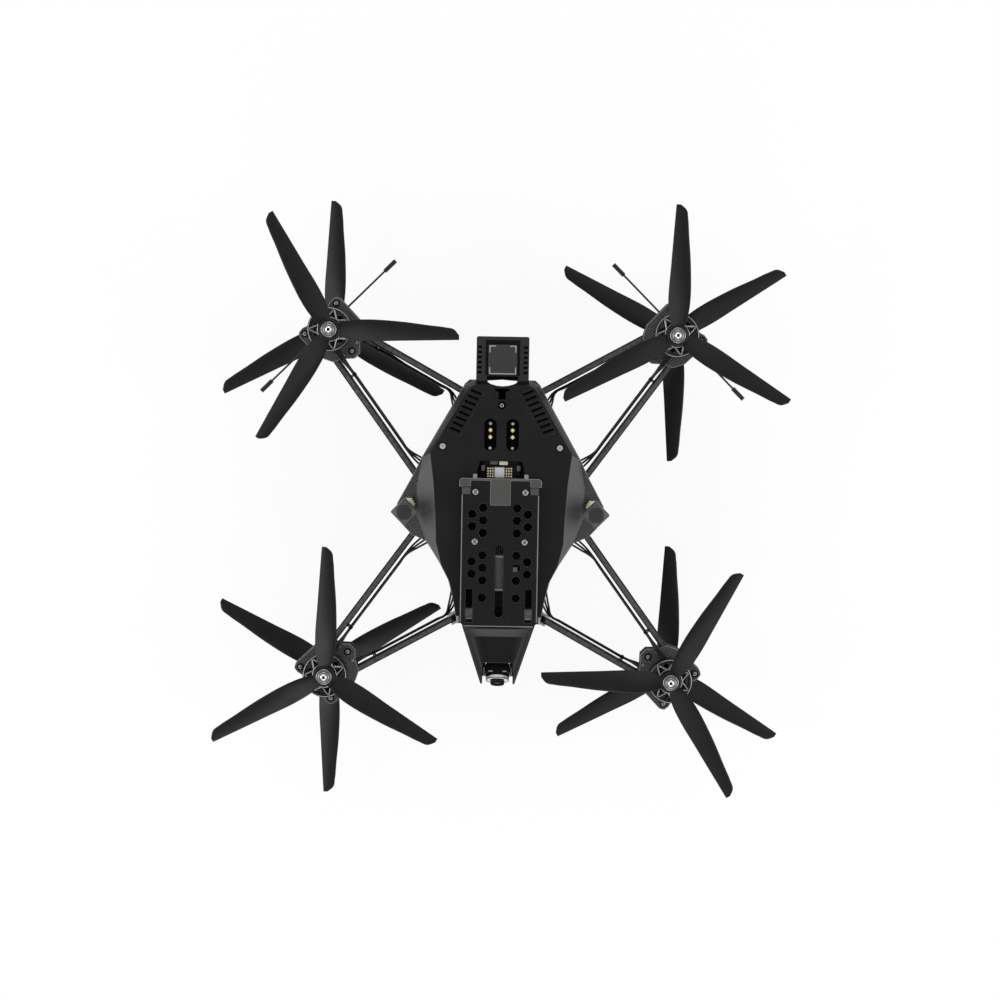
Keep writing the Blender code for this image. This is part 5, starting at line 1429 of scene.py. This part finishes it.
# %% White surroundings
FILL = 0.5
WHITE = (1, 1, 1, 1)
world = bpy.data.worlds.new("studio_world")
bpy.context.scene.world = world
world.use_nodes = True
sky = world.node_tree
sky.nodes.clear()
ray = add(sky, "ShaderNodeLightPath")
seen = add(sky, "ShaderNodeMath", {0: ray.outputs["Is Camera Ray"], 1: ray.outputs["Is Transmission Ray"]},
           operation="MAXIMUM")
fill = add(sky, "ShaderNodeBackground", {"Color": WHITE, "Strength": FILL})
white = add(sky, "ShaderNodeBackground", {"Color": WHITE, "Strength": 1.0})
choice = add(sky, "ShaderNodeMixShader", {0: seen.outputs[0], 1: fill.outputs[0], 2: white.outputs[0]})
add(sky, "ShaderNodeOutputWorld", {"Surface": choice.outputs[0]})
print("world with", len(sky.nodes), "nodes")

# %% [markdown]
# ## Floor
# The floor is a pale diffuse sheet that keeps the drone's faint shadow. To camera, mirror and glass rays
# it is mixed with plain white: mostly near the drone, and wholly further out, so that no edge shows
# between the floor and the white round it.

# %% Floor
FLOOR_HALF, FLOOR_Z = 6.0, -0.2 * MM
FADE_FROM, FADE_TO, NEAR_WHITE = 0.5, 1.3, 0.88
floor_mesh = bpy.data.meshes.new("studio_floor")
floor_mesh.from_pydata(
    [(x * FLOOR_HALF, y * FLOOR_HALF, FLOOR_Z) for x, y in ((-1, -1), (1, -1), (1, 1), (-1, 1))], [],
    [(0, 1, 2, 3)])
studio_floor = bpy.data.objects.new("studio_floor", floor_mesh)
bpy.context.scene.collection.objects.link(studio_floor)
# matt floor paint: no shine, only a soft shadow
floor_paint = bpy.data.materials.new("pale_floor_paint")
floor_paint.use_nodes = True
paint = floor_paint.node_tree
paint.nodes.clear()
ray = add(paint, "ShaderNodeLightPath")
seen = add(paint, "ShaderNodeMath", {0: ray.outputs["Is Camera Ray"], 1: ray.outputs["Is Glossy Ray"]},
           operation="MAXIMUM")
seen = add(paint, "ShaderNodeMath", {0: seen.outputs[0], 1: ray.outputs["Is Transmission Ray"]},
           operation="MAXIMUM")
spot = add(paint, "ShaderNodeTexCoord")
away = add(paint, "ShaderNodeVectorMath", {0: spot.outputs["Object"]}, operation="LENGTH")
fade = add(paint, "ShaderNodeMapRange", {
    "Value": away.outputs["Value"], "From Min": FADE_FROM, "From Max": FADE_TO,
    "To Min": NEAR_WHITE, "To Max": 1.0})
share = add(paint, "ShaderNodeMath", {0: seen.outputs[0], 1: fade.outputs[0]}, operation="MULTIPLY")
sheet = add(paint, "ShaderNodeBsdfDiffuse", {"Color": linear("#f4f4f3")})
glow = add(paint, "ShaderNodeEmission", {"Color": WHITE, "Strength": 1.0})
mixed = add(paint, "ShaderNodeMixShader", {0: share.outputs[0], 1: sheet.outputs[0], 2: glow.outputs[0]})
add(paint, "ShaderNodeOutputMaterial", {"Surface": mixed.outputs[0]})
floor_mesh.materials.append(floor_paint)
print("floor:", 2 * FLOOR_HALF, "m wide")

# %% [markdown]
# ## Lamps
# Four large square lamps stand low round the drone and look at its middle. They graze the flanks, the
# blades and the cut edges, and leave the flat tops to the fill, so that black parts keep their shape
# without bright spots.

# %% Lamps
LAMP_AIM = Vector((0, 0, 0.07))
LAMPS = (
    ("left_softbox", (1.4, -0.1, 0.45), 1.2, 18.0),
    ("right_softbox", (-1.4, -0.1, 0.45), 1.2, 18.0),
    ("front_softbox", (0.0, -1.5, 0.5), 1.0, 12.0),
    ("rear_softbox", (0.0, 1.5, 0.5), 1.0, 8.0),
)
for name, place, size, power in LAMPS:
    lamp = bpy.data.lights.new(name, "AREA")
    lamp.shape = "SQUARE"
    lamp.size = size
    lamp.energy = power
    stand = bpy.data.objects.new(name, lamp)
    stand.location = place
    stand.rotation_euler = (LAMP_AIM - Vector(place)).to_track_quat("-Z", "Y").to_euler()
    bpy.context.scene.collection.objects.link(stand)
print(len(LAMPS), "lamps")
